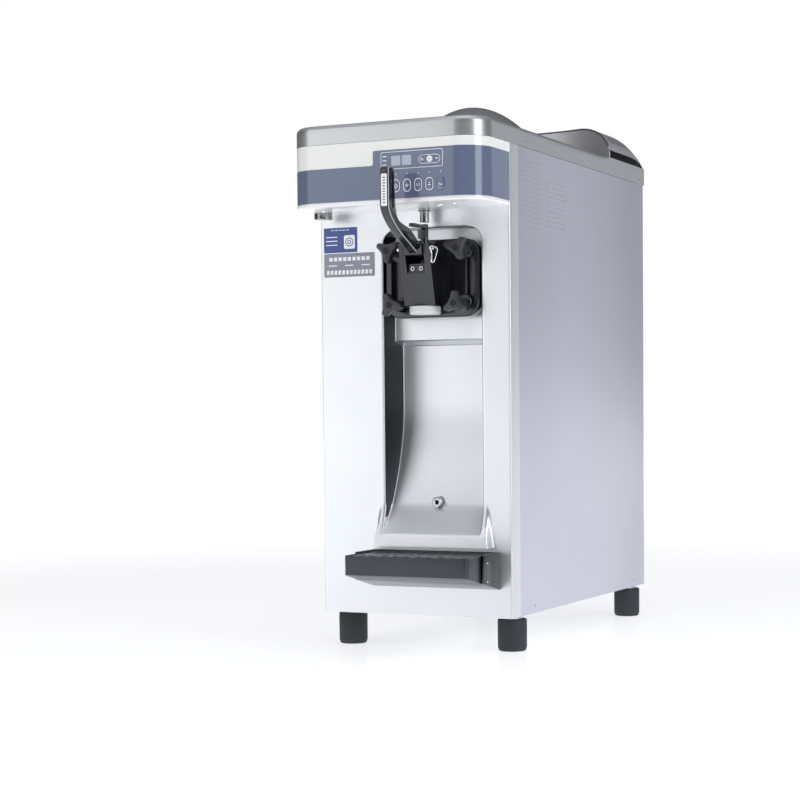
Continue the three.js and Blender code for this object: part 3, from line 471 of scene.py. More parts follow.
def addStudio():
    scene = bpy.context.scene
    scene.view_settings.view_transform = "Standard"
    world = bpy.data.worlds.new("studio")
    world.use_nodes = True
    background = world.node_tree.nodes["Background"]
    background.inputs["Color"].default_value = studio["world"] + (1.0,)
    links = world.node_tree.links
    heading = world.node_tree.nodes.new("ShaderNodeTexCoord")
    split = world.node_tree.nodes.new("ShaderNodeSeparateXYZ")
    fade = world.node_tree.nodes.new("ShaderNodeMapRange")  # brighter overhead, as under a soft tent
    fade.inputs["From Min"].default_value, fade.inputs["From Max"].default_value = studio["rise"]
    fade.inputs["To Min"].default_value = studio["worldLow"]
    fade.inputs["To Max"].default_value = studio["worldHigh"]
    links.new(heading.outputs["Generated"], split.inputs[0])
    links.new(split.outputs["Z"], fade.inputs["Value"])
    links.new(fade.outputs["Result"], background.inputs["Strength"])
    backdrop = world.node_tree.nodes.new("ShaderNodeBackground")  # what shows behind the object
    backdrop.inputs["Color"].default_value = studio["backdrop"] + (1.0,)
    ray = world.node_tree.nodes.new("ShaderNodeLightPath")
    blend = world.node_tree.nodes.new("ShaderNodeMixShader")
    links.new(ray.outputs["Is Camera Ray"], blend.inputs["Fac"])
    links.new(background.outputs[0], blend.inputs[1])
    links.new(backdrop.outputs[0], blend.inputs[2])
    links.new(blend.outputs[0], world.node_tree.nodes["World Output"].inputs["Surface"])
    scene.world = world
    for name, spot, target, width, height, watts, colour in studio["lamps"]:
        data = bpy.data.lights.new(name, "AREA")
        data.shape = "RECTANGLE"
        data.size, data.size_y, data.energy, data.color = width, height, watts, colour
        lamp = bpy.data.objects.new(name, data)
        lamp.location = spot
        lamp.rotation_euler = (Vector(target) - Vector(spot)).to_track_quat("-Z", "Y").to_euler()
        scene.collection.objects.link(lamp)
    reach = studio["floorSize"] / 2
    floor = addPiece("floor", [(-reach, -reach, 0), (reach, -reach, 0), (reach, reach, 0),
                               (-reach, reach, 0)],
                     [(0, 1, 2, 3)])
    pale = finish("pale floor", (0.86, 0.865, 0.87), 0.20, 0.0, (3, 3, 3), 0.0, 0.01, 0.02)
    glow = pale.node_tree.nodes["Principled BSDF"].inputs
    glow["Emission Color"].default_value = (1, 1, 1, 1)
    tree = pale.node_tree
    spot = tree.nodes.new("ShaderNodeTexCoord")
    away = tree.nodes.new("ShaderNodeVectorMath")
    away.operation = "LENGTH"
    lift = tree.nodes.new("ShaderNodeMapRange")
    lift.inputs["From Min"].default_value, lift.inputs["From Max"].default_value = studio["floorFade"]
    lift.inputs["To Min"].default_value, lift.inputs["To Max"].default_value = studio["floorGlow"]
    tree.links.new(spot.outputs["Object"], away.inputs[0])
    tree.links.new(away.outputs["Value"], lift.inputs["Value"])
    tree.links.new(lift.outputs["Result"], glow["Emission Strength"])
    paint(floor, pale)


addCamera()
addStudio()
print("camera and studio placed")


# Front panel.

throat = {
    "left": -0.047, "right": 0.102, "top": 0.583, "foot": 0.162, "corner": 0.020,
    "upperDepth": 0.032, "lowerDepth": 0.055, "ledge": (0.4235, 0.4315), "rise": 0.178, "lean": 0.04,
    "rimRadius": 0.0022, "floorRadius": 0.0026, "chuteFoot": 0.145, "chuteTop": 0.205, "proud": 0.0138,
    "flare": (0.005, 0.0125), "sideFold": 0.029, "sheet": 0.0012, "cornerFold": 0.0018,
}


def ease(value):
    value = min(1.0, max(0.0, value))
    return value * value * (3 - 2 * value)


def throatDepth(z):
    low, high = throat["ledge"]
    if z > high:
        return throat["upperDepth"]
    share = min(1.0, max(0.0, (z - throat["foot"]) / throat["rise"]))
    deep = throat["lowerDepth"] * math.sin(share * math.pi / 2)
    return deep + (throat["upperDepth"] - deep) * ease((z - low) / (high - low))


# One level section of the panel, from its left fold to its right fold.
def panelRow(z, depth, inset, proud):
    drop = min(1.0, max(0.0, (throat["chuteTop"] - z) / (throat["chuteTop"] - throat["chuteFoot"])))
    flare = throat["flare"][0] + (throat["flare"][1] - throat["flare"][0]) * drop
    rim = min(throat["rimRadius"], depth / 2)
    bed = min(throat["floorRadius"], depth / 2)
    sides = []
    for side, edge in ((-1, throat["left"] + inset), (1, throat["right"] - inset)):
        inward = -side
        fold = throat["cornerFold"]
        row = [(side * half, throat["sideFold"])]
        row += [(side * (half - fold + fold * math.cos(a)), fold - fold * math.sin(a))
                for a in (0, math.pi / 6, math.pi / 3, math.pi / 2)]
        start = edge - inward * (flare + 0.004)
        row += [(side * (half - fold - 0.0015), 0), (start - inward * 0.0015, 0)]
        row += [(start + inward * 0.005 * t / 6, -proud * ease(t / 6)) for t in range(7)]
        row += [(edge - inward * (rim - rim * math.sin(a)), -proud + rim - rim * math.cos(a))
                for a in (0, math.pi / 6, math.pi / 3, math.pi / 2)]
        lean = throat["lean"] * depth
        row += [(edge + inward * (lean + bed - bed * math.cos(a)), -proud + depth - bed + bed * math.sin(a))
                for a in (0, math.pi / 8, math.pi / 4, 3 * math.pi / 8, math.pi / 2)]
        sides.append(row)
    left, right = sides
    middle = [(left[-1][0] + (right[-1][0] - left[-1][0]) * t / 6, left[-1][1]) for t in range(1, 6)]
    return [(x, faceY + y, z) for x, y in left + middle + right[::-1]]


def makeFrontPanel():
    bottom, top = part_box("front_panel")[0].z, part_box("front_panel")[1].z
    rim, corner = throat["rimRadius"], throat["corner"]
    lip = throat["chuteFoot"]
    rows = [panelRow(z, 0, 0, 0) for z in (bottom, 0.09, lip - 0.001)]
    heights = [lip + 0.06 * t / 24 for t in range(25)] + [0.205 + 0.2185 * t / 20 for t in range(1, 20)]
    heights += [0.4235 + 0.008 * t / 6 for t in range(7)] + [0.46, 0.50, 0.54]
    for z in heights:
        drop = (throat["chuteTop"] - z) / (throat["chuteTop"] - lip)
        rows.append(panelRow(z, throatDepth(z), 0, throat["proud"] * ease(drop)))
    upper = throat["upperDepth"]
    for angle in range(0, 91, 9):
        turn = math.radians(angle)
        z = throat["top"] - corner + corner * math.sin(turn)
        rows.append(panelRow(z, upper, corner * (1 - math.cos(turn)), 0))
    for angle in range(0, 91, 18):
        turn = math.radians(angle)
        rows.append(panelRow(throat["top"] + rim - rim * math.cos(turn) + 1e-5, rim * (1 - math.sin(turn)),
                             corner, 0))
    rows += [panelRow(z, 0, corner, 0) for z in (0.62, 0.66, top)]
    panel = skin("frontPanel", rows, throat["sheet"])
    opening = slab("door opening", roundBox(headX - 0.064, headX + 0.064, 0.469, 0.558, 0.012), "y",
                   faceY + 0.02, faceY + 0.045)
    drain = turned("drain opening", [(0, faceY), (0.0078, faceY), (0.0078, faceY + 0.05),
                                     (0, faceY + 0.05)], "y",
                   headX, 0.2057, 32)
    combine(panel, [opening, drain])
    paint(panel, frontSteel, 30)
    # Painted shade: faces of the throat's side walls take the near-black steel.
    panel.data.materials.append(paintedThroatShade)
    for face in panel.data.polygons:
        x, y, z = face.center
        if abs(face.normal.x) > 0.8 and y > faceY + 0.0015 and abs(x) < half - 0.02 and z > throat["foot"]:
            face.material_index = 1
    return place(panel, "root", "brushed_steel", "front_panel")


drain = {"radius": 0.0073, "bore": 0.0027, "z": 0.2057, "proud": 0.0015}


def makeDrainEnd():
    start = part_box("drain_tube")[0].y - drain["proud"]
    radius, bore = drain["radius"], drain["bore"]
    profile = [(bore, start + 0.012), (bore, start + 0.001), (bore + 0.001, start), (radius - 0.0015, start),
               (radius, start + 0.0015), (radius, start + 0.012)]
    end = turned("drainEnd", profile, "y", headX, drain["z"], 40)
    # Painted shade: a black disc inside the bore stands for its dark inside.
    plug = turned("drainBoreShade", [(0, start + 0.006), (bore, start + 0.006), (bore, start + 0.007),
                                (0, start + 0.007)],
                  "y", headX, drain["z"], 24)
    place(paint(end, shadedCoverSteel), "root", "brushed_steel")
    place(paint(plug, paintedHoleShade), "root", "label_white")


stickers = {
    "blue": (-0.1400, -0.0870, 0.555, 0.590), "grey": (-0.1400, -0.0600, 0.521, 0.554),
    "film": 0.0002, "corner": 0.0012, "line": 0.0011,
}


# Two plain stickers: a blue one with a pale ring mark and a grey one with level bars.
def makeStickers():
    film = stickers["film"]
    front = faceY - film
    for name, material in (("blue", stickerBlue), ("grey", stickerGrey)):
        x0, x1, z0, z1 = stickers[name]
        sheet = slab("sticker" + name.capitalize(), roundBox(x0, x1, z0, z1, stickers["corner"], 4), "y",
                     front, faceY - 0.00002)
        place(paint(sheet, material), "root", "blue_overlay")
    x0, x1, z0, z1 = stickers["blue"]
    markX, markZ = x1 - 0.0125, z0 + 0.0145
    tile = slab("stickerTile", roundBox(markX - 0.0085, markX + 0.0085, markZ - 0.0095, markZ + 0.0095,
                                        0.002, 4), "y",
                front - film / 2, front)
    paint(tile, printWhite)
    rings = []
    for outer in (0.0062, 0.0030):
        inner = outer - 0.0012
        rings.append(paint(band("ring", arc(markX, markZ, outer, 0, 348.75, 31),
                                arc(markX, markZ, inner, 0, 348.75, 31),
                                "y", front - film, front - film / 2), stickerBlue))
    lines = grow("stickerLines", "bars", Count=3, Start=(x0 + 0.0125, front, z0 + 0.011), Step=(0, 0, 0.0055),
                 Size=(0.018, film, 0.0012), Finish=printWhite)
    head = grow("stickerHead", "bars", Count=5, Start=(x0 + 0.014, front, z1 - 0.0035), Step=(0.006, 0, 0),
                Size=(0.004, film, 0.0010), Finish=printWhite)
    place(paint(gather([tile, *rings, lines, head]), None), "root", "key_white")
    x0, x1, z0, z1 = stickers["grey"]
    blocks = grow("stickerBlocks", "bars", Count=9, Start=(x0 + 0.011, front, z1 - 0.008),
                  Step=(0.0073, 0, 0),
                  Size=(0.0052, film, 0.0052), Finish=printWhite)
    rule = grow("stickerRule", "bars", Count=3, Start=(x0 + 0.014, front, z1 - 0.017), Step=(0.026, 0, 0),
                Size=(0.013, film, 0.0016), Finish=printWhite)
    low = grow("stickerLow", "bars", Count=12, Start=(x0 + 0.0065, front, z0 + 0.0065), Step=(0.0061, 0, 0),
               Size=(0.0040, film, 0.0060), Turn=(0, math.radians(12), 0), Finish=printWhite)
    place(paint(gather([blocks, rule, low]), None), "root", "key_white")


makeFrontPanel()
makeDrainEnd()
makeStickers()
print("front panel made")


# Sides and rear.

sides = {"sheet": 0.0015, "edge": 0.0006, "screw": 0.0038, "screwHeight": 0.0018,
         "screws": [(0.082, 0.0596), (0.4945, 0.0604)], "skirtScrews": [(0.058, 0.7007), (0.5266, 0.6995)]}


def makeSide(side, name, node):
    low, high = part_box(node)
    outer = high.x if side > 0 else low.x
    inner = outer - side * sides["sheet"]
    wall = slab(name, [(low.y, low.z), (high.y, low.z), (high.y, high.z), (low.y, high.z)], "x",
                min(inner, outer), max(inner, outer))
    soften(wall, sides["edge"], 2)
    place(paint(wall, sideSteel), "root", "silver_panel", node)
    turn = turnRight if side > 0 else turnLeft
    spots = [(outer - side * 0.0010, faceY + y, z) for y, z in sides["screws"] + sides["skirtScrews"]]
    radius, height = sides["screw"], sides["screwHeight"]
    heads = grow("sideScrews", "discs", spots, Radius=radius, Topradius=radius * 0.72, Height=height * 0.55,
                 Sides=24, Turn=turn, Finish=brightChrome)
    # Painted shade: flat black hexagons stand for the dark inside of the screws' sockets.
    sockets = grow("sideSockets", "discs", spots, Radius=radius * 0.36, Topradius=radius * 0.34,
                   Height=height * 0.56, Sides=6, Turn=turn, Finish=paintedHoleShade)
    place(paint(gather([heads, sockets]), None), "root", "chrome")


label = {"y": (0.030, 0.221), "z": (0.571, 0.687), "lines": 17, "ink": 0.0009}


# The faint printed plate on the right side: level rules only.
def makeSideLabel():
    x = half + 0.00002
    y0, y1 = [faceY + y for y in label["y"]]
    z0, z1 = label["z"]
    step = (z1 - z0) / label["lines"]
    parts = []
    for column, (start, length) in enumerate(((0.06, 0.36), (0.52, 0.40))):
        size = (0.00004, (y1 - y0) * length, label["ink"])
        first = (x - 0.00002, y0 + (y1 - y0) * (start + length / 2), z0 + step * (2 + column))
        parts.append(grow("labelRules", "bars", Count=label["lines"] - 3 - column * 4, Start=first,
                          Step=(0, 0, step),
                          Size=size, Finish=faintPrint))
    place(paint(gather(parts), None), "root", "silver_panel")


louvre = {"rows": (0.095, 0.275, 10), "topRows": (0.380, 0.460, 5), "reach": 0.045, "width": 0.074,
          "blade": (0.0015, 0.0095), "tilt": 32}


# Blades behind the air slots at the rear.
def makeLouvres():
    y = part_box("rear_panel")[0].y + 0.0010
    fanX = (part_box("fan_blade")[0].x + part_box("fan_blade")[1].x) / 2
    parts = []
    for low, high, count in (louvre["rows"], louvre["topRows"]):
        for side in (-1, 1):
            parts.append(grow("louvres", "bars", Count=count,
                              Start=(fanX + side * louvre["reach"], y - 0.001, low),
                              Step=(0, 0, (high - low) / (count - 1)),
                              Size=(louvre["width"], louvre["blade"][0], louvre["blade"][1]),
                              Turn=(math.radians(louvre["tilt"]), 0, 0), Finish=sideSteel))
    place(paint(gather(parts), None), "root", "silver_panel")


makeSide(-1, "leftSide", "left_side_panel")
makeSide(1, "rightSide", "right_side_panel")
makeSideLabel()
makeLouvres()
print("sides made")


# Top cover, crown, lid and hopper.

cover = {"top": 0.7185, "edge": 0.008, "wall": 0.0016, "corner": 0.040, "crown": 0.771, "crownStart": 0.080,
         "crownEnd": 0.490, "rear": 0.551, "scoop": 0.237, "scoopEdge": 0.003, "front": -0.0948,
         "fade": (0.375, 0.392),
         "skinRoom": 0.0018}
hopperY = lidY - faceY


# Plan of the cover, (x, y) from the panel's face, with points all along its sides.
def coverPlan():
    front, rear, corner = cover["front"], cover["rear"], cover["corner"]
    straight = [rear + (front + corner - rear) * t / 40 for t in range(41)]
    left = [(-half, y) for y in straight]
    around = arc(-half + corner, front + corner, corner, 180, 270, 14)[1:]
    around += [(-half + corner + (2 * half - 2 * corner) * t / 8, front) for t in range(1, 8)]
    around += arc(half - corner, front + corner, corner, 270, 360, 14)
    right = [(half, y) for y in reversed(straight[:-1])]
    return left + around + right


# Moves a plan's points in by an amount that may change from front to rear.
def drawnIn(plan, inset):
    front, rear, corner = cover["front"], cover["rear"], cover["corner"]
    result = []
    for x, y in plan:
        amount = inset(y)
        cx = min(max(x, -half + corner), half - corner)
        cy = max(y, front + corner)
        dx, dy = x - cx, y - cy
        length = math.hypot(dx, dy)
        if length > 1e-9:
            x, y = x - dx / length * amount, y - dy / length * amount
        y = min(y, rear - amount)
        result.append((x, y))
    return result


def crownHeight(x, y):
    side = max(0.0, abs(x) - cover["crownStart"]) / (half - cover["crownStart"])
    back = max(0.0, y - cover["crownEnd"]) / (cover["rear"] - cover["crownEnd"])
    rise = cover["crown"] - cover["top"]
    return cover["top"] + rise * math.sqrt(max(0.0, 1 - side * side)) * math.sqrt(max(0.0, 1 - back * back))


def scoopY(x):
    return hopperY + math.sqrt(cover["scoop"] ** 2 - x * x)


def makeCover():
    plan = coverPlan()
    fadeFrom, fadeTo = cover["fade"]
    edgeAt = lambda y: 0.0004 + (cover["edge"] - 0.0004) * (1 - ease((y - fadeFrom) / (fadeTo - fadeFrom)))
    rows = []
    for z in (seamZ, seamZ + 0.008, seamZ + 0.016):
        rows.append([(x, faceY + y, z) for x, y in plan])
    for angle in range(0, 91, 15):
        turn = math.radians(angle)
        moved = drawnIn(plan, lambda y: edgeAt(y) * (1 - math.cos(turn)))
        rows.append([(x, faceY + y, cover["top"] - edgeAt(y0) * (1 - math.sin(turn)))
                     for (x, y), (_, y0) in zip(moved, plan)])
    shell = skin("topCover", rows, 0, loop=True)
    work = bmesh.new()
    work.from_mesh(shell.data)
    rim = [edge for edge in work.edges if edge.is_boundary and edge.verts[0].co.z > cover["top"] - 0.001]
    bmesh.ops.holes_fill(work, edges=rim)
    bmesh.ops.recalc_face_normals(work, faces=work.faces)
    topFace = max(work.faces, key=lambda face: face.calc_area())
    if topFace.normal.z < 0:
        bmesh.ops.reverse_faces(work, faces=work.faces)
    work.to_mesh(shell.data)
    work.free()
    thicken = shell.modifiers.new("wall", "SOLIDIFY")
    thicken.thickness = cover["wall"]
    thicken.offset = -1
    settle(shell)
    mouth = turned("mouth", [(0, 0.70), (0.0895, 0.70), (0.0895, 0.73), (0, 0.73)], "z", lidX, lidY, 96)
    combine(shell, [mouth])
    place(paint(shell, shadedCoverSteel, 30), "root", "brushed_steel", "top_cover")


vents = {"first": 0.428, "pitch": 0.0145, "count": 7, "x": (0.116, 0.137), "width": 0.0052, "slant": 16}


def makeCrown():
    spread = [math.sin(math.pi / 2 * t / 16) for t in range(17)]
    xs = [cover["crownStart"] + (half - cover["crownStart"]) * s for s in spread]
    xs = [-x for x in reversed(xs)] + [cover["crownStart"] * t / 8 for t in range(-7, 8)] + xs
    inset = 1 - cover["skinRoom"] / half  # the skin's own thickness stays within the casing's width
    xs = [x * inset for x in xs]
    edge = cover["scoopEdge"]
    rows = [[(x, faceY + scoopY(x), cover["top"] - 0.0005) for x in xs]]
    for angle in range(0, 91, 18):
        turn = math.radians(angle)
        row = []
        for x in xs:
            y = scoopY(x)
            bend = min(edge, (crownHeight(x, y) - cover["top"]) / 2)
            row.append((x, faceY + y + bend * (1 - math.cos(turn)),
                        crownHeight(x, y + bend) - bend * (1 - math.sin(turn))))
        rows.append(row)
    shares = [t / 12 * 0.6 for t in range(1, 13)]
    shares += [0.6 + 0.4 * math.sin(math.pi / 2 * t / 14) for t in range(1, 15)]  # closer towards the rear
    for share in shares:
        row = []
        for x in xs:
            start = scoopY(x) + edge
            y = start + (cover["rear"] - start) * share
            row.append((x, faceY + y, crownHeight(x, y)))
        rows.append(row)
    crown = skin("crown", rows, 0.0014)
    cutters = []
    for side in (-1, 1):
        x0, x1 = sorted((side * vents["x"][0], side * vents["x"][1]))
        size = (x1 - x0, vents["width"], 0.090)
        cutters.append(grow("ventCutters", "bars", Count=vents["count"],
                            Start=((x0 + x1) / 2, faceY + vents["first"], 0.755), Step=(0, vents["pitch"], 0),
                            Size=size, Turn=(0, 0, math.radians(-side * vents["slant"])), Finish=paintedHoleShade))
    combine(crown, cutters)
    place(paint(crown, crownSteel, 30), "root", "brushed_steel")
    # A dark tube along the scoop's rim, painted as the rim's shadow line.
    line = [(x, faceY + scoopY(x) + 0.001, crownHeight(x, scoopY(x) + 0.002) - 0.0014) for x in xs[3:-3]]
    bead = grow("crownRimShadow", "tube", line, True, Radius=0.0015, Sides=10, Finish=paintedRimShadow)
    place(paint(bead, None), "root", "brushed_steel")


lid = {"top": 0.777, "fall": 0.0625, "radius": 0.096, "wall": 0.0022}


def makeLid():
    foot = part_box("hopper_lid")[0].z
    domeAt = lambda r: lid["top"] - lid["fall"] * (r / 0.1) ** 2
    outside = [(r * 0.001, domeAt(r * 0.001)) for r in list(range(0, 86, 5)) + [87]]
    edge = [(0.0885, domeAt(0.0885) - 0.0008), (0.0900, domeAt(0.0900) - 0.0008), (0.0912, 0.7263),
            (0.0935, 0.7259),
            (0.0950, 0.7252), (0.0958, 0.7243), (0.0960, 0.7232), (0.0960, 0.7216), (0.0955, 0.7214),
            (0.0848, 0.7214), (0.0848, foot + 0.0002), (0.0828, foot + 0.0002)]
    inside = [(r * 0.001, domeAt(r * 0.001) - lid["wall"]) for r in range(80, -1, -8)]
    shell = turned("lid", outside + edge + inside, "z", lidX, lidY, 128)
    place(paint(shell, lidSteel, 30), "hopper_lid", "lid_steel", "hopper_lid")


def makeHopper():
    low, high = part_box("hopper")
    seat = high.z - 0.0025
    base = 0.590
    profile = [(0.0103, low.z + 0.0002), (0.0138, low.z + 0.0002)]
    pan = turned("hopper", [(0, base), (0.082, base), (0.086, base + 0.002), (0.088, base + 0.006),
                            (0.088, seat),
                            (0.0949, seat), (0.0949, high.z - 0.0004), (0.0945, high.z - 0.0001),
                            (0.0875, high.z - 0.0001),
                            (0.0861, high.z - 0.0010), (0.0860, base + 0.008), (0.0845, base + 0.004),
                            (0.082, base + 0.002), (0, base + 0.002)], "z", lidX, lidY, 96)
    neckX, neckY = headX, faceY + 0.160
    neck = turned("neck", [*profile, (0.0138, base + 0.001), (0.0103, base + 0.001)], "z", neckX, neckY, 48)
    hole = turned("hole", [(0, base - 0.01), (0.0103, base - 0.01), (0.0103, base + 0.02),
                           (0, base + 0.02)], "z",
                  neckX, neckY, 48)
    combine(pan, [hole])
    place(paint(gather([paint(pan, shadedCoverSteel), paint(neck, shadedCoverSteel)]), None), "root", "brushed_steel",
          "hopper")


def makeFeedTube():
    low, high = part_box("feed_tube")
    x, y = (low.x + high.x) / 2, (low.y + high.y) / 2
    tube = turned("feedTube", [(0.005, low.z), (0.0066, low.z), (0.007, low.z + 0.0006),
                               (0.007, high.z - 0.0008),
                               (0.0064, high.z), (0.0055, high.z), (0.005, high.z - 0.0006)], "z", x, y, 40)
    port = turned("port", [(0, y - 0.02), (0.0025, y - 0.02), (0.0025, y), (0, y)], "y", x, 0.604, 24)
    combine(tube, [port])
    place(paint(tube, whiteMoulded), "feed_tube", "label_white", "feed_tube")


makeCover()
makeCrown()
makeLid()
makeHopper()
makeFeedTube()
print("cover, crown and lid made")


# Hood and controls.

hood = {"bottom": 0.6077, "trimTop": 0.6136, "filmLow": 0.6139, "step": -0.0125, "leftTop": 0.659,
        "rightTop": 0.6786,
        "edge": 0.003, "wall": 0.0022, "cream": 0.0004, "film": 0.0003, "back": -0.0003}


# The open plan of the hood, from its left rear edge round the front to its right rear edge.
def hoodPath(inset, marks=()):
    front, corner = cover["front"] + inset, cover["corner"] - inset
    edge = half - inset
    points = [(-edge, hood["back"]), (-edge, front + corner)]
    points += arc(-edge + corner, front + corner, corner, 180, 270, 14)[1:]
    points += [(x, front) for x in marks]
    points += arc(edge - corner, front + corner, corner, 270, 360, 14)
    points.append((edge, hood["back"]))
    return points


def makeHoodShell():
    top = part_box("hood_shell")[1].z
    edge = hood["edge"]
    rows = []
    for angle in range(0, 91, 18):
        turn = math.radians(angle)
        path = hoodPath(edge * (1 - math.sin(turn)))
        rows.append([(x, faceY + y, hood["bottom"] + edge * (1 - math.cos(turn))) for x, y in path])
    skinInset = hood["film"] + hood["cream"] + 0.0001
    for inset, z in ((0, hood["trimTop"] - 0.0004), (0.0004, hood["trimTop"]), (skinInset, hood["trimTop"]),
                     (skinInset, top)):
        rows.append([(x, faceY + y, z) for x, y in hoodPath(inset)])
    inner = hood["wall"] + skinInset
    for inset, z in ((inner, top), (inner, hood["bottom"] + hood["wall"])):
        rows.append([(x, faceY + y, z) for x, y in hoodPath(inset)])
    count = len(rows[0])
    points = [point for row in rows for point in row]
    faces = []
    for r in range(len(rows) - 1):
        for i in range(count):
            j = (i + 1) % count
            if j or r < len(rows) - 1:
                faces.append((r * count + i, r * count + j, (r + 1) * count + j, (r + 1) * count + i))
    last = (len(rows) - 1) * count
    faces += [tuple(range(count)), tuple(range(last, last + count))]
    return cleanUp(addPiece("hoodShell", points, faces))


def filmTop(x):
    step = hood["step"]
    if x < step - 0.003:
        return hood["leftTop"]
    if x <= step:
        share = (x - step + 0.003) / 0.003
        return hood["leftTop"] + 0.003 * (1 - math.sqrt(max(0.0, 1 - share * share)))
    if x < step + 0.003:
        share = (x - step) / 0.003
        return hood["rightTop"] - 0.003 * (1 - math.sqrt(max(0.0, 1 - (1 - share) ** 2)))
    return hood["rightTop"]


def makeFilm(name, inset, wall, topAt, marks):
    path = hoodPath(inset, marks)
    low = [(x, faceY + y, hood["filmLow"]) for x, y in path]
    high = [(x, faceY + y, topAt(x)) for x, y in path]
    return skin(name, [low, high], wall)


keys = {"half": (0.006, 0.009), "ring": 0.0010, "clear": 0.0003, "z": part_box("function_key_1")[0].z + 0.009}
keyNames = ["function_key_%d" % (i + 1) for i in range(6)]
roundNames = ["plus_key", "set_key", "minus_key"]


def middle(node):
    low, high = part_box(node)
    return (low.x + high.x) / 2, (low.z + high.z) / 2


def keyCutters(front, back):
    cutters = []
    w, h = [size + keys["clear"] for size in keys["half"]]
    for node in keyNames:
        x, z = middle(node)
        cutters.append(slab("cut", roundBox(x - w, x + w, z - h, z + h, w - 1e-5, 10), "y", front, back))
    for node in roundNames:
        x, z = middle(node)
        radius = 0.0042 + keys["clear"]
        cutters.append(turned("cut", [(0, front), (radius, front), (radius, back), (0, back)], "y", x, z, 40))
    return cutters


def makeHood():
    front = faceY + cover["front"]
    shell = makeHoodShell()
    rodHole = turned("cut", [(0, 0.60), (0.0071, 0.60), (0.0071, 0.62), (0, 0.62)], "z", headX,
                     faceY - 0.020, 40)
    combine(shell, [*keyCutters(front - 0.005, front + 0.005), rodHole])
    place(paint(shell, trimWhite, 30), "root", "white_trim", "hood_shell")
    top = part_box("control_overlay")[1].z
    cream = makeFilm("creamSheet", hood["film"], hood["cream"], lambda x: top, [0])
    combine(cream, keyCutters(front - 0.005, front + 0.005))
    place(paint(cream, creamGloss), "root", "blue_overlay", "control_overlay")
    step = hood["step"]
    marks = [-0.06, step - 0.003, step - 0.002, step - 0.001, step - 0.0004, step - 1e-6, step + 1e-6,
             step + 0.0004,
             step + 0.001, step + 0.002, step + 0.003, 0.05]
    film = makeFilm("blueFilm", 0, hood["film"] - 0.00005, filmTop, marks)
    combine(film, keyCutters(front - 0.005, front + 0.005))
    place(paint(film, slateBlue), "root", "blue_overlay")


# Small white marks for the keys, each drawn from plain bars and rings about its own middle.
def keyMark(index, x, z, front, back):
    bars = {0: [(-0.002, 0.002, 0.001, 0.002), (-0.002, 0.002, -0.002, -0.001)],
            1: [(-0.0005, 0.0005, 0.0, 0.003)],
            2: [(-0.0025, 0.0025, -0.0005, 0.0005), (-0.0005, 0.0005, -0.0025, 0.0025)],
            3: [(-0.0022, -0.0012, -0.002, 0.002), (0.0012, 0.0022, -0.002, 0.002)],
            4: [(-0.0026, 0.0026, -0.0018, -0.0008), (-0.0014, 0.0014, 0.0008, 0.0018)],
            5: [(-0.003, -0.002, -0.002, 0.001), (-0.001, 0.003, -0.002, -0.001)]}[index]
    parts = [slab("mark", [(x + a, z + c), (x + b, z + c), (x + b, z + d), (x + a, z + d)], "y", front, back)
             for a, b, c, d in bars]
    if index == 1:
        parts.append(band("mark", arc(x, z - 0.0004, 0.0026, 0, 348.75, 31),
                          arc(x, z - 0.0004, 0.0018, 0, 348.75, 31),
                          "y", front, back))
    return parts


def makeKeys():
    w, h = keys["half"]
    for index, node in enumerate(keyNames):
        x, z = middle(node)
        front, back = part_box(node)[0].y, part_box(node)[1].y
        key = slab("key", roundBox(x - w, x + w, z - h, z + h, w - 1e-5, 10), "y", front, back)
        soften(key, 0.0002, 2)
        paint(key, slateBlue)
        marks = keyMark(index, x, z, front - 0.00002, front + 0.0001)
        if index < 5:
            line = keys["ring"]
            outer = roundBox(x - w + 0.0003, x + w - 0.0003, z - h + 0.0003, z + h - 0.0003, w - 0.0004, 10)
            inner = roundBox(x - w + line + 0.0003, x + w - line - 0.0003, z - h + line + 0.0003,
                             z + h - line - 0.0003,
                             w - line - 0.0004, 10)
            marks.append(band("mark", outer, inner, "y", front - 0.00002, front + 0.0001))
        for mark in marks:
            paint(mark, printWhite)
        piece = gather([key, *marks])
        piece.name = "functionKey%d" % (index + 1)
        place(paint(piece, None), node, "blue_overlay", node)
    for index, node in enumerate(roundNames):
        x, z = middle(node)
        front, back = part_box(node)[0].y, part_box(node)[1].y
        radius = 0.0042
        key = turned("key", [(0, front), (radius - 0.0004, front), (radius, front + 0.0004), (radius, back),
                             (0, back)],
                     "y", x, z, 48)
        paint(key, printWhite if index == 1 else slateBlue)
        sizes = {0: [(0.0024, 0.0005), (0.0005, 0.0024)], 1: [(0.0020, 0.0004)], 2: [(0.0024, 0.0005)]}[index]
        marks = [paint(slab("mark", roundBox(x - a, x + a, z - b, z + b, 0.0003, 3), "y", front - 0.00002,
                            front + 0.0001),
                       slateBlue if index == 1 else printWhite) for a, b in sizes]
        piece = gather([key, *marks])
        piece.name = ["plusKey", "setKey", "minusKey"][index]
        place(paint(piece, None), node, "key_white", node)


panelPrint = {"frame": (-0.0007, 0.0905, 0.6527, 0.6759), "corner": 0.003, "line": 0.0007, "depth": 0.00004,
              "windows": [(0.0150, 0.0284), (0.0308, 0.0442)], "windowZ": (0.6573, 0.6703),
              "pill": (0.0552, 0.0866, 0.6575, 0.6691), "dots": (0.646, 0.0013),
              "marks": (0.005, 0.659, 0.0055)}


def outlineBand(name, x0, x1, z0, z1, corner, line, front, back):
    return band(name, roundBox(x0, x1, z0, z1, corner, 6),
                roundBox(x0 + line, x1 - line, z0 + line, z1 - line, max(0.0002, corner - line), 6), "y",
                front, back)


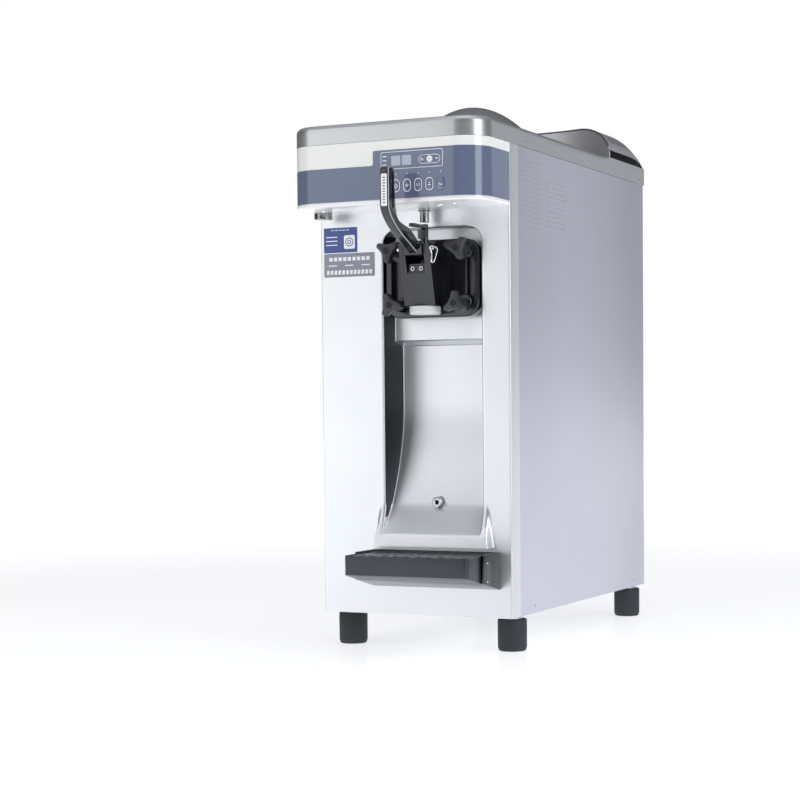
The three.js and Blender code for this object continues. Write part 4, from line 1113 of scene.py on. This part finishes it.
def makePanelPrint():
    back = faceY + cover["front"] + 0.0001
    front = faceY + cover["front"] - panelPrint["depth"]
    x0, x1, z0, z1 = panelPrint["frame"]
    parts = [outlineBand("print", x0, x1, z0, z1, panelPrint["corner"], panelPrint["line"], front, back)]
    x0, x1, z0, z1 = panelPrint["pill"]
    parts.append(outlineBand("print", x0, x1, z0, z1, (z1 - z0) / 2 - 1e-5, panelPrint["line"], front, back))
    for part in parts:
        paint(part, printWhite)
    markX, markZ, markStep = panelPrint["marks"]
    parts.append(grow("marks", "bars", Count=3, Start=(markX, front + 0.00005, markZ), Step=(0, 0, markStep),
                      Size=(0.0055, 0.0001, 0.0012), Finish=printWhite))
    dotZ, dotRadius = panelPrint["dots"]
    spots = [(middle(node)[0], front + 0.0001, dotZ) for node in keyNames]
    parts.append(grow("lamps", "discs", spots, Radius=dotRadius, Topradius=dotRadius * 0.9, Height=0.0001,
                      Sides=20,
                      Turn=turnFront, Finish=windowPale))
    printed = gather(parts)
    printed.name = "panelPrint"
    place(paint(printed, None), "root", "key_white")
    windows = []
    low, high = panelPrint["windowZ"]
    for x0, x1 in panelPrint["windows"]:
        windows.append(paint(slab("digitWindow", roundBox(x0, x1, low, high, 0.0008, 4), "y", front, back),
                             windowPale))
    piece = gather(windows)
    piece.name = "digitWindows"
    place(paint(piece, None), "root", "circuit")


under = {"screws": [(-0.112, -0.050), (-0.100, -0.030), (0.060, -0.045), (0.067, -0.052), (0.090, -0.060)],
         "screw": 0.0028, "boss": (-0.124, -0.030), "bossRadius": 0.0125, "bossHeight": 0.010,
         "bushBore": 0.0069, "bushRadius": 0.0076, "bushFall": 0.0038,
         "discRadius": 0.0094, "discThick": 0.0009, "rodY": -0.020}


# Fixings that hang below the hood: small screws and the round catch at the left.
def makeUnderHood():
    spots = [(x, faceY + y, hood["bottom"] + 0.0005) for x, y in under["screws"]]
    radius = under["screw"]
    screws = grow("hoodScrews", "discs", spots, Radius=radius, Topradius=radius * 0.7, Height=0.0022,
                  Sides=20,
                  Turn=turnDown, Finish=brightChrome)
    place(paint(screws, None), "root", "chrome")
    x, y = under["boss"]
    top, height, radius = hood["bottom"] + 0.0005, under["bossHeight"], under["bossRadius"]
    boss = turned("hoodCatch", [(0, top), (radius, top), (radius, top - height + 0.001),
                                (radius - 0.001, top - height), (0, top - height)], "z", x, faceY + y, 40)
    place(paint(boss, darkChrome), "root", "chrome")
    bore, wide, low = under["bushBore"], under["bushRadius"], top - under["bushFall"]  # clear of the valve
    bush = turned("rodBush", [(bore, top), (wide, top), (wide, low), (bore, low)], "z", headX,
                  faceY + under["rodY"], 40)
    rim, foot = under["discRadius"], low - under["discThick"]
    disc = turned("rodDisc", [(bore, low), (rim, low), (rim, foot), (bore, foot)], "z", headX,
                  faceY + under["rodY"], 40)
    piece = gather([paint(bush, darkChrome), paint(disc, blackMoulded)])
    place(paint(piece, None), "root", "chrome")


makeHood()
makeKeys()
makePanelPrint()
makeUnderHood()
print("hood made")


# Dispensing head.

door = {"left": -0.0446, "right": 0.0986, "bottom": 0.4605, "top": 0.567, "corner": 0.022, "front": 0.002,
        "back": 0.020, "edge": 0.0028, "pocket": (0.009, 0.024, 0.474, 0.552, 0.008)}
column = {"y": -0.020, "radius": 0.013, "bore": 0.0094, "bottom": 0.466, "top": 0.548}


def makeDoor():
    y0, y1 = faceY + door["front"], faceY + door["back"]
    plate = slab("frontDoor", roundBox(door["left"], door["right"], door["bottom"], door["top"],
                                       door["corner"], 10),
                 "y", y0, y1)
    soften(plate, door["edge"], 4)
    side, mid, low, high, corner = door["pocket"]
    spans = [(door["left"] + side, headX - mid), (headX + mid, door["right"] - side)]
    pockets = [slab("cut", roundBox(x0, x1, low, high, corner, 6), "y", y0 - 0.005, faceY + 0.012) for x0,
               x1 in spans]
    combine(plate, pockets)
    bosses = []
    for knob in knobNodes:
        x, z = middle(knob)
        bosses.append(turned("boss", [(0, y0), (0.0095, y0), (0.0105, y0 + 0.001), (0.0105, faceY + 0.014),
                                      (0, faceY + 0.014)], "y", x, z, 40))
    cx, cy = headX, faceY + column["y"]
    outer, bore, low, high = column["radius"], column["bore"], column["bottom"], column["top"]
    pillar = turned("pillar", [(bore, low), (outer - 0.0006, low), (outer, low + 0.0006),
                               (outer, high - 0.0008),
                               (outer - 0.0008, high), (bore, high)], "z", cx, cy, 56)
    slot = slab("cut", [(headX - 0.0075, 0.531), (headX + 0.0075, 0.531), (headX + 0.0075, 0.56),
                        (headX - 0.0075, 0.56)],
                "y", faceY - 0.045, cy)
    combine(pillar, [slot])
    web = slab("web", [(headX - 0.011, 0.4752), (headX + 0.011, 0.4752), (headX + 0.011, high),
                       (headX - 0.011, high)],
               "y", cy + 0.0105, faceY + 0.003)
    rib = [slab("rib", [(x - 0.0012, 0.476), (x + 0.0012, 0.476), (x + 0.0012, 0.550), (x - 0.0012, 0.550)],
                "y",
                faceY + 0.006, faceY + 0.013) for x in (headX + 0.034, headX + 0.050, headX - 0.036)]
    piece = gather([paint(p, blackMoulded) for p in [plate, *bosses, pillar, web, *rib]])
    place(paint(piece, None), "root", "black_plastic", "front_door")


knobNodes = ["door_knob_upper_left", "door_knob_upper_right", "door_knob_lower_left", "door_knob_lower_right"]
knob = {"lobe": 0.0044, "reach": 0.0128, "waist": 0.0066, "front": -0.034, "back": -0.022, "edge": 0.0018,
        "turns": (30, 50, -5, 90), "stem": 0.0075, "dimple": 0.0046}


# A three-lobed outline with round lobes and hollow flanks.
def knobOutline(x, z, turn):
    points = []
    lobe, reach, waist = knob["lobe"], knob["reach"], knob["waist"]
    for third in range(3):
        heading = math.radians(turn + 120 * third)
        cx, cz = x + reach * math.cos(heading), z + reach * math.sin(heading)
        spread = 80
        points += arc(cx, cz, lobe, math.degrees(heading) - spread, math.degrees(heading) + spread, 10)
        start = points[-1]
        after = heading + math.radians(60)
        pull = (x + waist * math.cos(after), z + waist * math.sin(after))
        nextTurn = heading + math.radians(120)
        nextX, nextZ = x + reach * math.cos(nextTurn), z + reach * math.sin(nextTurn)
        end = (nextX + lobe * math.cos(nextTurn - math.radians(spread)),
               nextZ + lobe * math.sin(nextTurn - math.radians(spread)))
        for step in range(1, 8):
            t = step / 8
            points.append(tuple((1 - t) ** 2 * a + 2 * t * (1 - t) * b + t * t * c for a, b,
                                c in zip(start, pull, end)))
    return points


def makeKnobs():
    y0, y1 = faceY + knob["front"], faceY + knob["back"]
    for node, turn in zip(knobNodes, knob["turns"]):
        x, z = middle(node)
        z = 0.5518 if "upper" in node else 0.4775
        x = headX + math.copysign(0.052 if "upper" in node else 0.0483, x - headX)
        body = slab("knob", knobOutline(x, z, turn), "y", y0, y1)
        soften(body, knob["edge"], 3)
        paint(body, greyMoulded)
        wide = knob["stem"]
        stem = turned("stem", [(0, y1 - 0.002), (wide, y1 - 0.002), (wide, faceY + 0.001),
                               (wide - 0.0005, faceY + 0.0016), (0, faceY + 0.0016)], "y", x, z, 40)
        paint(stem, greyMoulded)
        # Painted shade: a flat black disc stands for the dark recess at the knob's middle.
        radius = knob["dimple"]
        cap = turned("cap", [(0, y0 - 0.0002), (radius, y0 - 0.0002), (radius, y0 + 0.002),
                             (0, y0 + 0.002)], "y",
                     x, z, 40)
        paint(cap, paintedHoleShade)
        piece = gather([body, stem, cap])
        piece.name = "".join(word.capitalize() if i else word for i, word in enumerate(node.split("_")))
        place(paint(piece, None), node, "grey_plastic", node)


spout = {"half": 0.023, "top": 0.557, "bottom": 0.4754, "frontTop": -0.0556, "frontBottom": -0.0366,
         "back": 0.0016, "wall": 0.0031, "edge": 0.0012, "screwZ": 0.5245, "screwX": 0.0062,
         "plateY": -0.0435}


def makeSpoutCover():
    x0, x1 = headX - spout["half"], headX + spout["half"]
    wall = spout["wall"]
    outline = lambda inset, over, back: [
        (faceY + spout["frontTop"] + inset, spout["top"] + over),
        (faceY + spout["frontBottom"] + inset, spout["bottom"] - over),
        (faceY + back, spout["bottom"] - over), (faceY + back, spout["top"] + over)]
    shell = slab("spoutCover", outline(0, 0, spout["back"]), "x", x0, x1)
    room = slab("cut", outline(wall, 0.002, 0.01), "x", x0 + wall, x1 - wall)
    window = slab("cut", [(headX - 0.014, 0.518), (headX + 0.014, 0.518), (headX + 0.014, 0.57),
                          (headX - 0.014, 0.57)],
                  "y", faceY - 0.07, faceY - 0.044)
    pinHole = turned("cut", [(0, -0.02), (0.0026, -0.02), (0.0026, 0.08), (0, 0.08)], "x", faceY - 0.05,
                     0.55, 32)
    combine(shell, [room, window, pinHole])
    soften(shell, spout["edge"], 3)
    # Painted shade and highlight: the grey cover's side faces get the glossy black and its rounded edges the
    # paler finish.
    paintEdgeHighlightAndSideShade(paint(shell, greyMoulded), leverBlack)
    y = faceY + spout["plateY"]
    plate = slab("plate", [(headX - 0.0205, 0.514), (headX + 0.0205, 0.514), (headX + 0.0205, 0.531),
                           (headX - 0.0205, 0.531)], "y", y, y + 0.0035)
    paint(plate, blackMoulded)
    spots = [(headX + side * spout["screwX"], y + 0.0002, spout["screwZ"]) for side in (-1, 1)]
    heads = grow("spoutScrews", "discs", spots, Radius=0.0031, Topradius=0.0027, Height=0.0022, Sides=28,
                 Turn=turnFront, Finish=brightChrome)
    # Painted shade: flat black hexagons stand for the dark inside of the screws' sockets.
    sockets = grow("spoutSockets", "discs", spots, Radius=0.0021, Topradius=0.0021, Height=0.00225, Sides=6,
                   Turn=turnFront, Finish=paintedHoleShade)
    piece = gather([shell, plate, heads, sockets])
    place(paint(piece, None), "root", "grey_plastic", "spout_cover")


# Paints a highlight onto the rounded upright edges of a moulding with a paler finish and, when a side finish
# is given, paints shade onto its side faces with that darker finish.
def paintEdgeHighlightAndSideShade(piece, sides=None):
    piece.data.materials.append(paintedEdgeHighlight)
    if sides is not None:
        piece.data.materials.append(sides)
    for face in piece.data.polygons:
        if 0.25 < abs(face.normal.x) < 0.93 and face.area < 4e-4:
            face.material_index = 1
        elif sides is not None and abs(face.normal.x) >= 0.93:
            face.material_index = 2
    return piece


lever = {"y": -0.050, "z": 0.550, "half": 0.007, "hub": 0.009, "nose": 0.0237, "noseHalf": 0.004, "lean": 20,
         "edge": 0.0022, "pin": 0.0026}


def smoothLoop(points, sharp=(), count=5):
    result = []
    total = len(points)
    for i in range(total):
        p0, p1, p2, p3 = [points[(i + k) % total] for k in (-1, 0, 1, 2)]
        if i in sharp:
            p0 = p1
        if (i + 1) % total in sharp:
            p3 = p2
        for step in range(count):
            t = step / count
            result.append(tuple(0.5 * (2 * b + (c - a) * t + (2 * a - 5 * b + 4 * c - d) * t * t
                                       + (3 * b - a - 3 * c + d) * t ** 3) for a, b, c,
                                       d in zip(p0, p1, p2, p3)))
    return result


def makeLever():
    y, z = faceY + lever["y"], lever["z"]
    front = [(-141, 646), (-141, 622), (-140.5, 600), (-136.5, 591), (-128, 582), (-115, 572.5), (-97, 563),
             (-78, 554.5),
             (-55, 543.5)]
    rear = [(-47, 557), (-75, 574.2), (-97, 580), (-110, 584), (-117, 592), (-120.5, 608), (-122.4, 630),
            (-123.5, 646),
            (-128, 651), (-136.5, 651)]
    arm = smoothLoop([(faceY + a / 1000, b / 1000) for a, b in front + rear], sharp=(8, 9))
    arm = [(max(a, faceY - 0.141), min(b, 0.6519)) for a, b in arm]
    grip = slab("drawLever", arm, "x", headX - lever["half"], headX + lever["half"])
    soften(grip, lever["edge"], 4)
    groove = roundBox(faceY - 0.1345, faceY - 0.1270, 0.597, 0.642, 0.003, 6)
    grooves = [slab("cut", groove, "x", headX + side * 0.0095 - 0.0035,
                    headX + side * 0.0095 + 0.0035) for side in (-1, 1)]
    pocket = slab("cut", roundBox(headX - 0.0048, headX + 0.0048, 0.5985, 0.6425, 0.0012, 6), "y",
                  faceY - 0.146, faceY - 0.1398)
    combine(grip, [*grooves, pocket])
    hub = turned("hub", [(lever["pin"], headX - 0.013), (lever["hub"] - 0.0008, headX - 0.013),
                         (lever["hub"], headX - 0.0122), (lever["hub"], headX + 0.0122),
                         (lever["hub"] - 0.0008, headX + 0.013), (lever["pin"], headX + 0.013)], "x", y, z,
                         48)
    down = math.radians(-lever["lean"])
    tip = (y + lever["nose"] * math.cos(down), z + lever["nose"] * math.sin(down))
    thick = lever["noseHalf"]
    nose = arc(tip[0], tip[1], thick, -90 - lever["lean"], 90 - lever["lean"], 12)
    base = (y + 0.006 * math.cos(down), z + 0.006 * math.sin(down))
    nose += [(base[0] - thick * math.sin(down), base[1] + thick * math.cos(down)),
             (base[0] + thick * math.sin(down), base[1] - thick * math.cos(down))]
    finger = slab("finger", nose, "x", headX - 0.005, headX + 0.005)
    bore = turned("cut", [(0, -0.02), (lever["pin"], -0.02), (lever["pin"], 0.08), (0, 0.08)], "x", y, z, 32)
    combine(grip, [bore])
    for part in (grip, hub, finger):
        paint(part, leverBlack)
    # The lever's rounded edges get the paler finish as a painted highlight.
    place(paint(gather([paintEdgeHighlightAndSideShade(grip), hub, finger]), None), "draw_lever", "black_plastic", "draw_lever")
    tagFront = faceY - 0.1409
    tag = slab("leverLabel", roundBox(headX - 0.0044, headX + 0.0044, 0.5995, 0.6415, 0.0015, 6), "y",
               tagFront, faceY - 0.1399)
    soften(tag, 0.0002, 2)
    paint(tag, printWhite)
    ticks = grow("ticks", "bars", Count=10, Start=(headX, tagFront, 0.604), Step=(0, 0, 0.0036),
                 Size=(0.0034, 0.00004, 0.0014), Finish=greyMoulded)
    place(paint(gather([tag, ticks]), None), "draw_lever", "label_white", "lever_label")


def makeValve():
    x, y = headX, faceY + column["y"]
    stem = turned("drawValve", [(0, 0.477), (0.006, 0.477), (0.0088, 0.4795), (0.009, 0.481),
                                (0.009, 0.551), (0.0085, 0.552),
                                (0.0052, 0.5545), (0.0052, 0.585), (0.0046, 0.586), (0, 0.586)], "z", x, y,
                                48)
    slot = slab("cut", [(x - 0.0065, 0.5367), (x + 0.0065, 0.5367), (x + 0.0065, 0.5472),
                        (x - 0.0065, 0.5472)], "y",
                faceY - 0.035, faceY - 0.0216)
    combine(stem, [slot])
    tab = slab("tab", roundBox(x - 0.0043, x + 0.0043, faceY - 0.062, y + 0.003, 0.003, 6), "z", 0.5797,
               0.5845)
    soften(tab, 0.0010, 3)
    web = slab("web", [(x - 0.0025, 0.5655), (x + 0.0025, 0.5655), (x + 0.0025, 0.578),
                       (x - 0.0025, 0.578)], "y",
               faceY - 0.036, y)
    piece = gather([paint(part, leverBlack) for part in (stem, tab, web)])
    place(paint(piece, None), "draw_valve", "black_plastic", "draw_valve")


pullLoop = {"wire": 0.0011, "back": 0.0024, "slant": (0.38, 0.92),  # turned a little towards the front
            "corners": [(-0.0058, 0.0028), (0.0062, 0.0012), (0.0066, -0.0030), (0.0012, -0.0172),
                        (-0.0036, -0.0168), (-0.0030, -0.0060)]}


def makePinAndRod():
    y, z = faceY + lever["y"], lever["z"]
    x0, x1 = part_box("pivot_pin")[0].x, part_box("pivot_pin")[1].x
    pin = turned("pivotPin", [(0, x0), (0.0014, x0), (0.0022, x0 + 0.0008), (0.0022, x1 - 0.001),
                              (0, x1 - 0.001)],
                 "x", y, z, 32)
    slantX, slantY = pullLoop["slant"]
    loop = [(x1 - pullLoop["back"] + slantX * a, y + slantY * a, z + b)
            for a, b in smoothLoop(pullLoop["corners"], count=6)]
    wire = grow("pullLoop", "tube", [*loop, loop[0]], True, Radius=pullLoop["wire"], Sides=12,
                Finish=brightChrome)
    piece = gather([paint(pin, brightChrome), wire])
    place(paint(piece, None), "root", "chrome", "pivot_pin")
    low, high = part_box("switch_rod")
    wide = (high.x - low.x) / 2
    rod = turned("switchRod", [(0, low.z), (wide - 0.0008, low.z), (wide, low.z + 0.0008), (wide, high.z),
                               (0, high.z)],
                 "z", headX, faceY + column["y"], 48)
    place(paint(rod, darkChrome), "switch_rod", "chrome", "switch_rod")


def makeNozzle():
    x, y = headX, faceY + column["y"]
    cap = turned("starNozzle", [(0, 0.4634), (0.0185, 0.4634), (0.0205, 0.4640), (0.0215, 0.4655),
                                (0.0215, 0.4685),
                                (0.0210, 0.4690), (0.0215, 0.4695), (0.0215, 0.4740), (0.0208, 0.4748),
                                (0.0142, 0.4748),
                                (0.0136, 0.4742), (0.0136, 0.4656), (0, 0.4656)], "z", x, y, 64)
    star = []
    for i in range(12):
        radius = 0.0036 if i % 2 else 0.0075
        star.append((x + radius * math.cos(math.pi * i / 6), y + radius * math.sin(math.pi * i / 6)))
    combine(cap, [slab("cut", star, "z", 0.46, 0.47)])
    place(paint(cap, clearMoulded), "star_nozzle", "clear_plastic", "star_nozzle")


makeDoor()
makeKnobs()
makeSpoutCover()
makeLever()
makeValve()
makePinAndRod()
makeNozzle()
print("dispensing head made")


# Drip tray and feet.

tray = {"left": -0.0624, "right": 0.1224, "reach": 0.0974, "top": 0.1375, "lip": 0.1113, "bottom": 0.088,
        "corner": 0.007, "edge": 0.0013, "ledge": 0.1342, "land": 0.015, "wall": 0.006}
bracket = {"left": -0.067, "right": 0.127, "reach": 0.055, "top": 0.1395, "sheet": 0.003, "edge": 0.0010}


def underside(y):
    return tray["bottom"] - y * (tray["lip"] - tray["bottom"]) / tray["reach"]


def shifted(points):
    return [(faceY + y, z) for y, z in points]


def makeTray():
    left, right, reach, top = tray["left"], tray["right"], tray["reach"], tray["top"]
    step = -bracket["reach"] - gap
    side = shifted([(-reach, top), (-reach, tray["lip"]), (step, underside(step)),
                    (step, underside(step) + 0.0024),
                    (-0.004, underside(-0.004) + 0.0024), (-0.004, top)])
    body = slab("dripTray", side, "x", left, right)
    corner = tray["corner"]
    plan = arc(left + corner, faceY - reach + corner, corner, 180, 270, 8)
    plan += arc(right - corner, faceY - reach + corner, corner, 270, 360, 8)
    plan += [(right, faceY + 0.001), (left, faceY + 0.001)]
    combine(body, [slab("plan", plan, "z", 0.05, 0.20)], "INTERSECT")
    edge, wall, high, wellBack = 0.0025, tray["wall"], tray["ledge"] + 0.001, -tray["land"] - 0.003
    seat = slab("cut", roundBox(left + edge, right - edge, faceY - reach + edge, faceY - tray["land"],
                                0.005, 6), "z",
                tray["ledge"], top + 0.005)
    well = slab("cut", shifted([(-reach + wall, high), (-reach + wall, tray["lip"] + wall),
                                (wellBack, underside(wellBack) + wall), (wellBack, high)]), "x",
                left + wall, right - wall)
    combine(body, [seat, well])
    soften(body, tray["edge"], 3, 25)
    place(paint(body, slateMoulded), "drip_tray", "black_plastic", "drip_tray")


def makeBracket():
    left, right, reach, top, sheet = [bracket[key] for key in ("left", "right", "reach", "top", "sheet")]
    side = shifted([(-reach, top), (-reach, underside(-reach)), (-gap, underside(-gap)), (-gap, top)])
    body = slab("trayBracket", side, "x", left, right)
    room = shifted([(-reach - 0.005, top + 0.005), (-reach - 0.005, underside(-reach - 0.005) + 0.002),
                    (-gap - sheet, underside(-gap - sheet) + 0.002), (-gap - sheet, top + 0.005)])
    combine(body, [slab("cut", room, "x", left + sheet + 0.001, right - sheet - 0.001)])
    soften(body, bracket["edge"], 3)
    paint(body, blackMoulded)
    rivets = [(right - 0.0005, faceY - 0.043, z) for z in (0.128, 0.103)]
    studs = grow("bracketRivets", "discs", rivets, Radius=0.0014, Topradius=0.0010, Height=0.0011, Sides=16,
                 Turn=turnRight, Finish=brightChrome)
    place(paint(gather([body, studs]), None), "root", "black_plastic", "tray_bracket")


grid = {"slots": 10, "rows": (-0.074, -0.036), "width": 0.008, "length": 0.030,
        "rings": (-0.030, 0.010, 0.050, 0.090), "ring": (0.0165, 0.0145)}


def makeGrid():
    low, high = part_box("drip_grid")
    plate = slab("dripGrid", roundBox(low.x, high.x, low.y, high.y, 0.0045, 6), "z", low.z, high.z - 0.0004)
    pitch = (high.x - low.x - 0.0264) / (grid["slots"] - 1)
    cutters = []
    for y in grid["rows"]:
        for i in range(grid["slots"]):
            x = low.x + 0.0132 + pitch * i
            w, l = grid["width"] / 2, grid["length"] / 2
            cutters.append(slab("cut", roundBox(x - w, x + w, faceY + y - l, faceY + y + l, w - 1e-5, 6),
                                "z", 0.13, 0.14))
    combine(plate, cutters)
    paint(plate, gridGrey)
    outer, inner = grid["ring"]
    rings = [paint(band("ring", arc(x, (low.y + high.y) / 2, outer, 0, 352.5, 47),
                        arc(x, (low.y + high.y) / 2, inner, 0, 352.5, 47),
                        "z", high.z - 0.001, high.z), gridGrey) for x in grid["rings"]]
    place(paint(gather([plate, *rings]), None), "drip_grid", "grid_grey", "drip_grid")


foot = {"radius": 0.0205, "base": 0.0188, "height": 0.0445, "washer": 0.014, "nut": 0.0092}


def makeFeet():
    for node in ("foot_front_left", "foot_front_right", "foot_rear_left", "foot_rear_right"):
        low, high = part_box(node)
        x, y = (low.x + high.x) / 2, (low.y + high.y) / 2
        radius, top = foot["radius"], foot["height"]
        rubberBody = turned("foot", [(0, 0), (foot["base"] - 0.001, 0), (foot["base"], 0.0008),
                                     (radius - 0.0002, 0.0050),
                                     (radius - 0.0001, top - 0.0022), (radius - 0.0008, top - 0.0006),
                                     (radius - 0.0024, top),
                                     (0, top)], "z", x, y, 64)
        washer = turned("washer", [(0, top - 0.0005), (foot["washer"], top - 0.0005),
                                   (foot["washer"], top + 0.0012),
                                   (foot["washer"] - 0.0006, top + 0.0018), (foot["nut"], top + 0.0018),
                                   (foot["nut"], 0.0487), (0, 0.0487)], "z", x, y, 48)
        stud = turned("stud", [(0, 0.048), (0.005, 0.048), (0.005, high.z - 0.001), (0.004, high.z),
                               (0, high.z)], "z", x, y, 24)
        piece = gather([paint(rubberBody, footRubber), paint(washer, brightChrome),
                        paint(stud, brightChrome)])
        piece.name = "".join(word.capitalize() if i else word for i, word in enumerate(node.split("_")))
        place(paint(piece, None), "root", "rubber", node)


makeTray()
makeBracket()
makeGrid()
makeFeet()
print("tray and feet made")
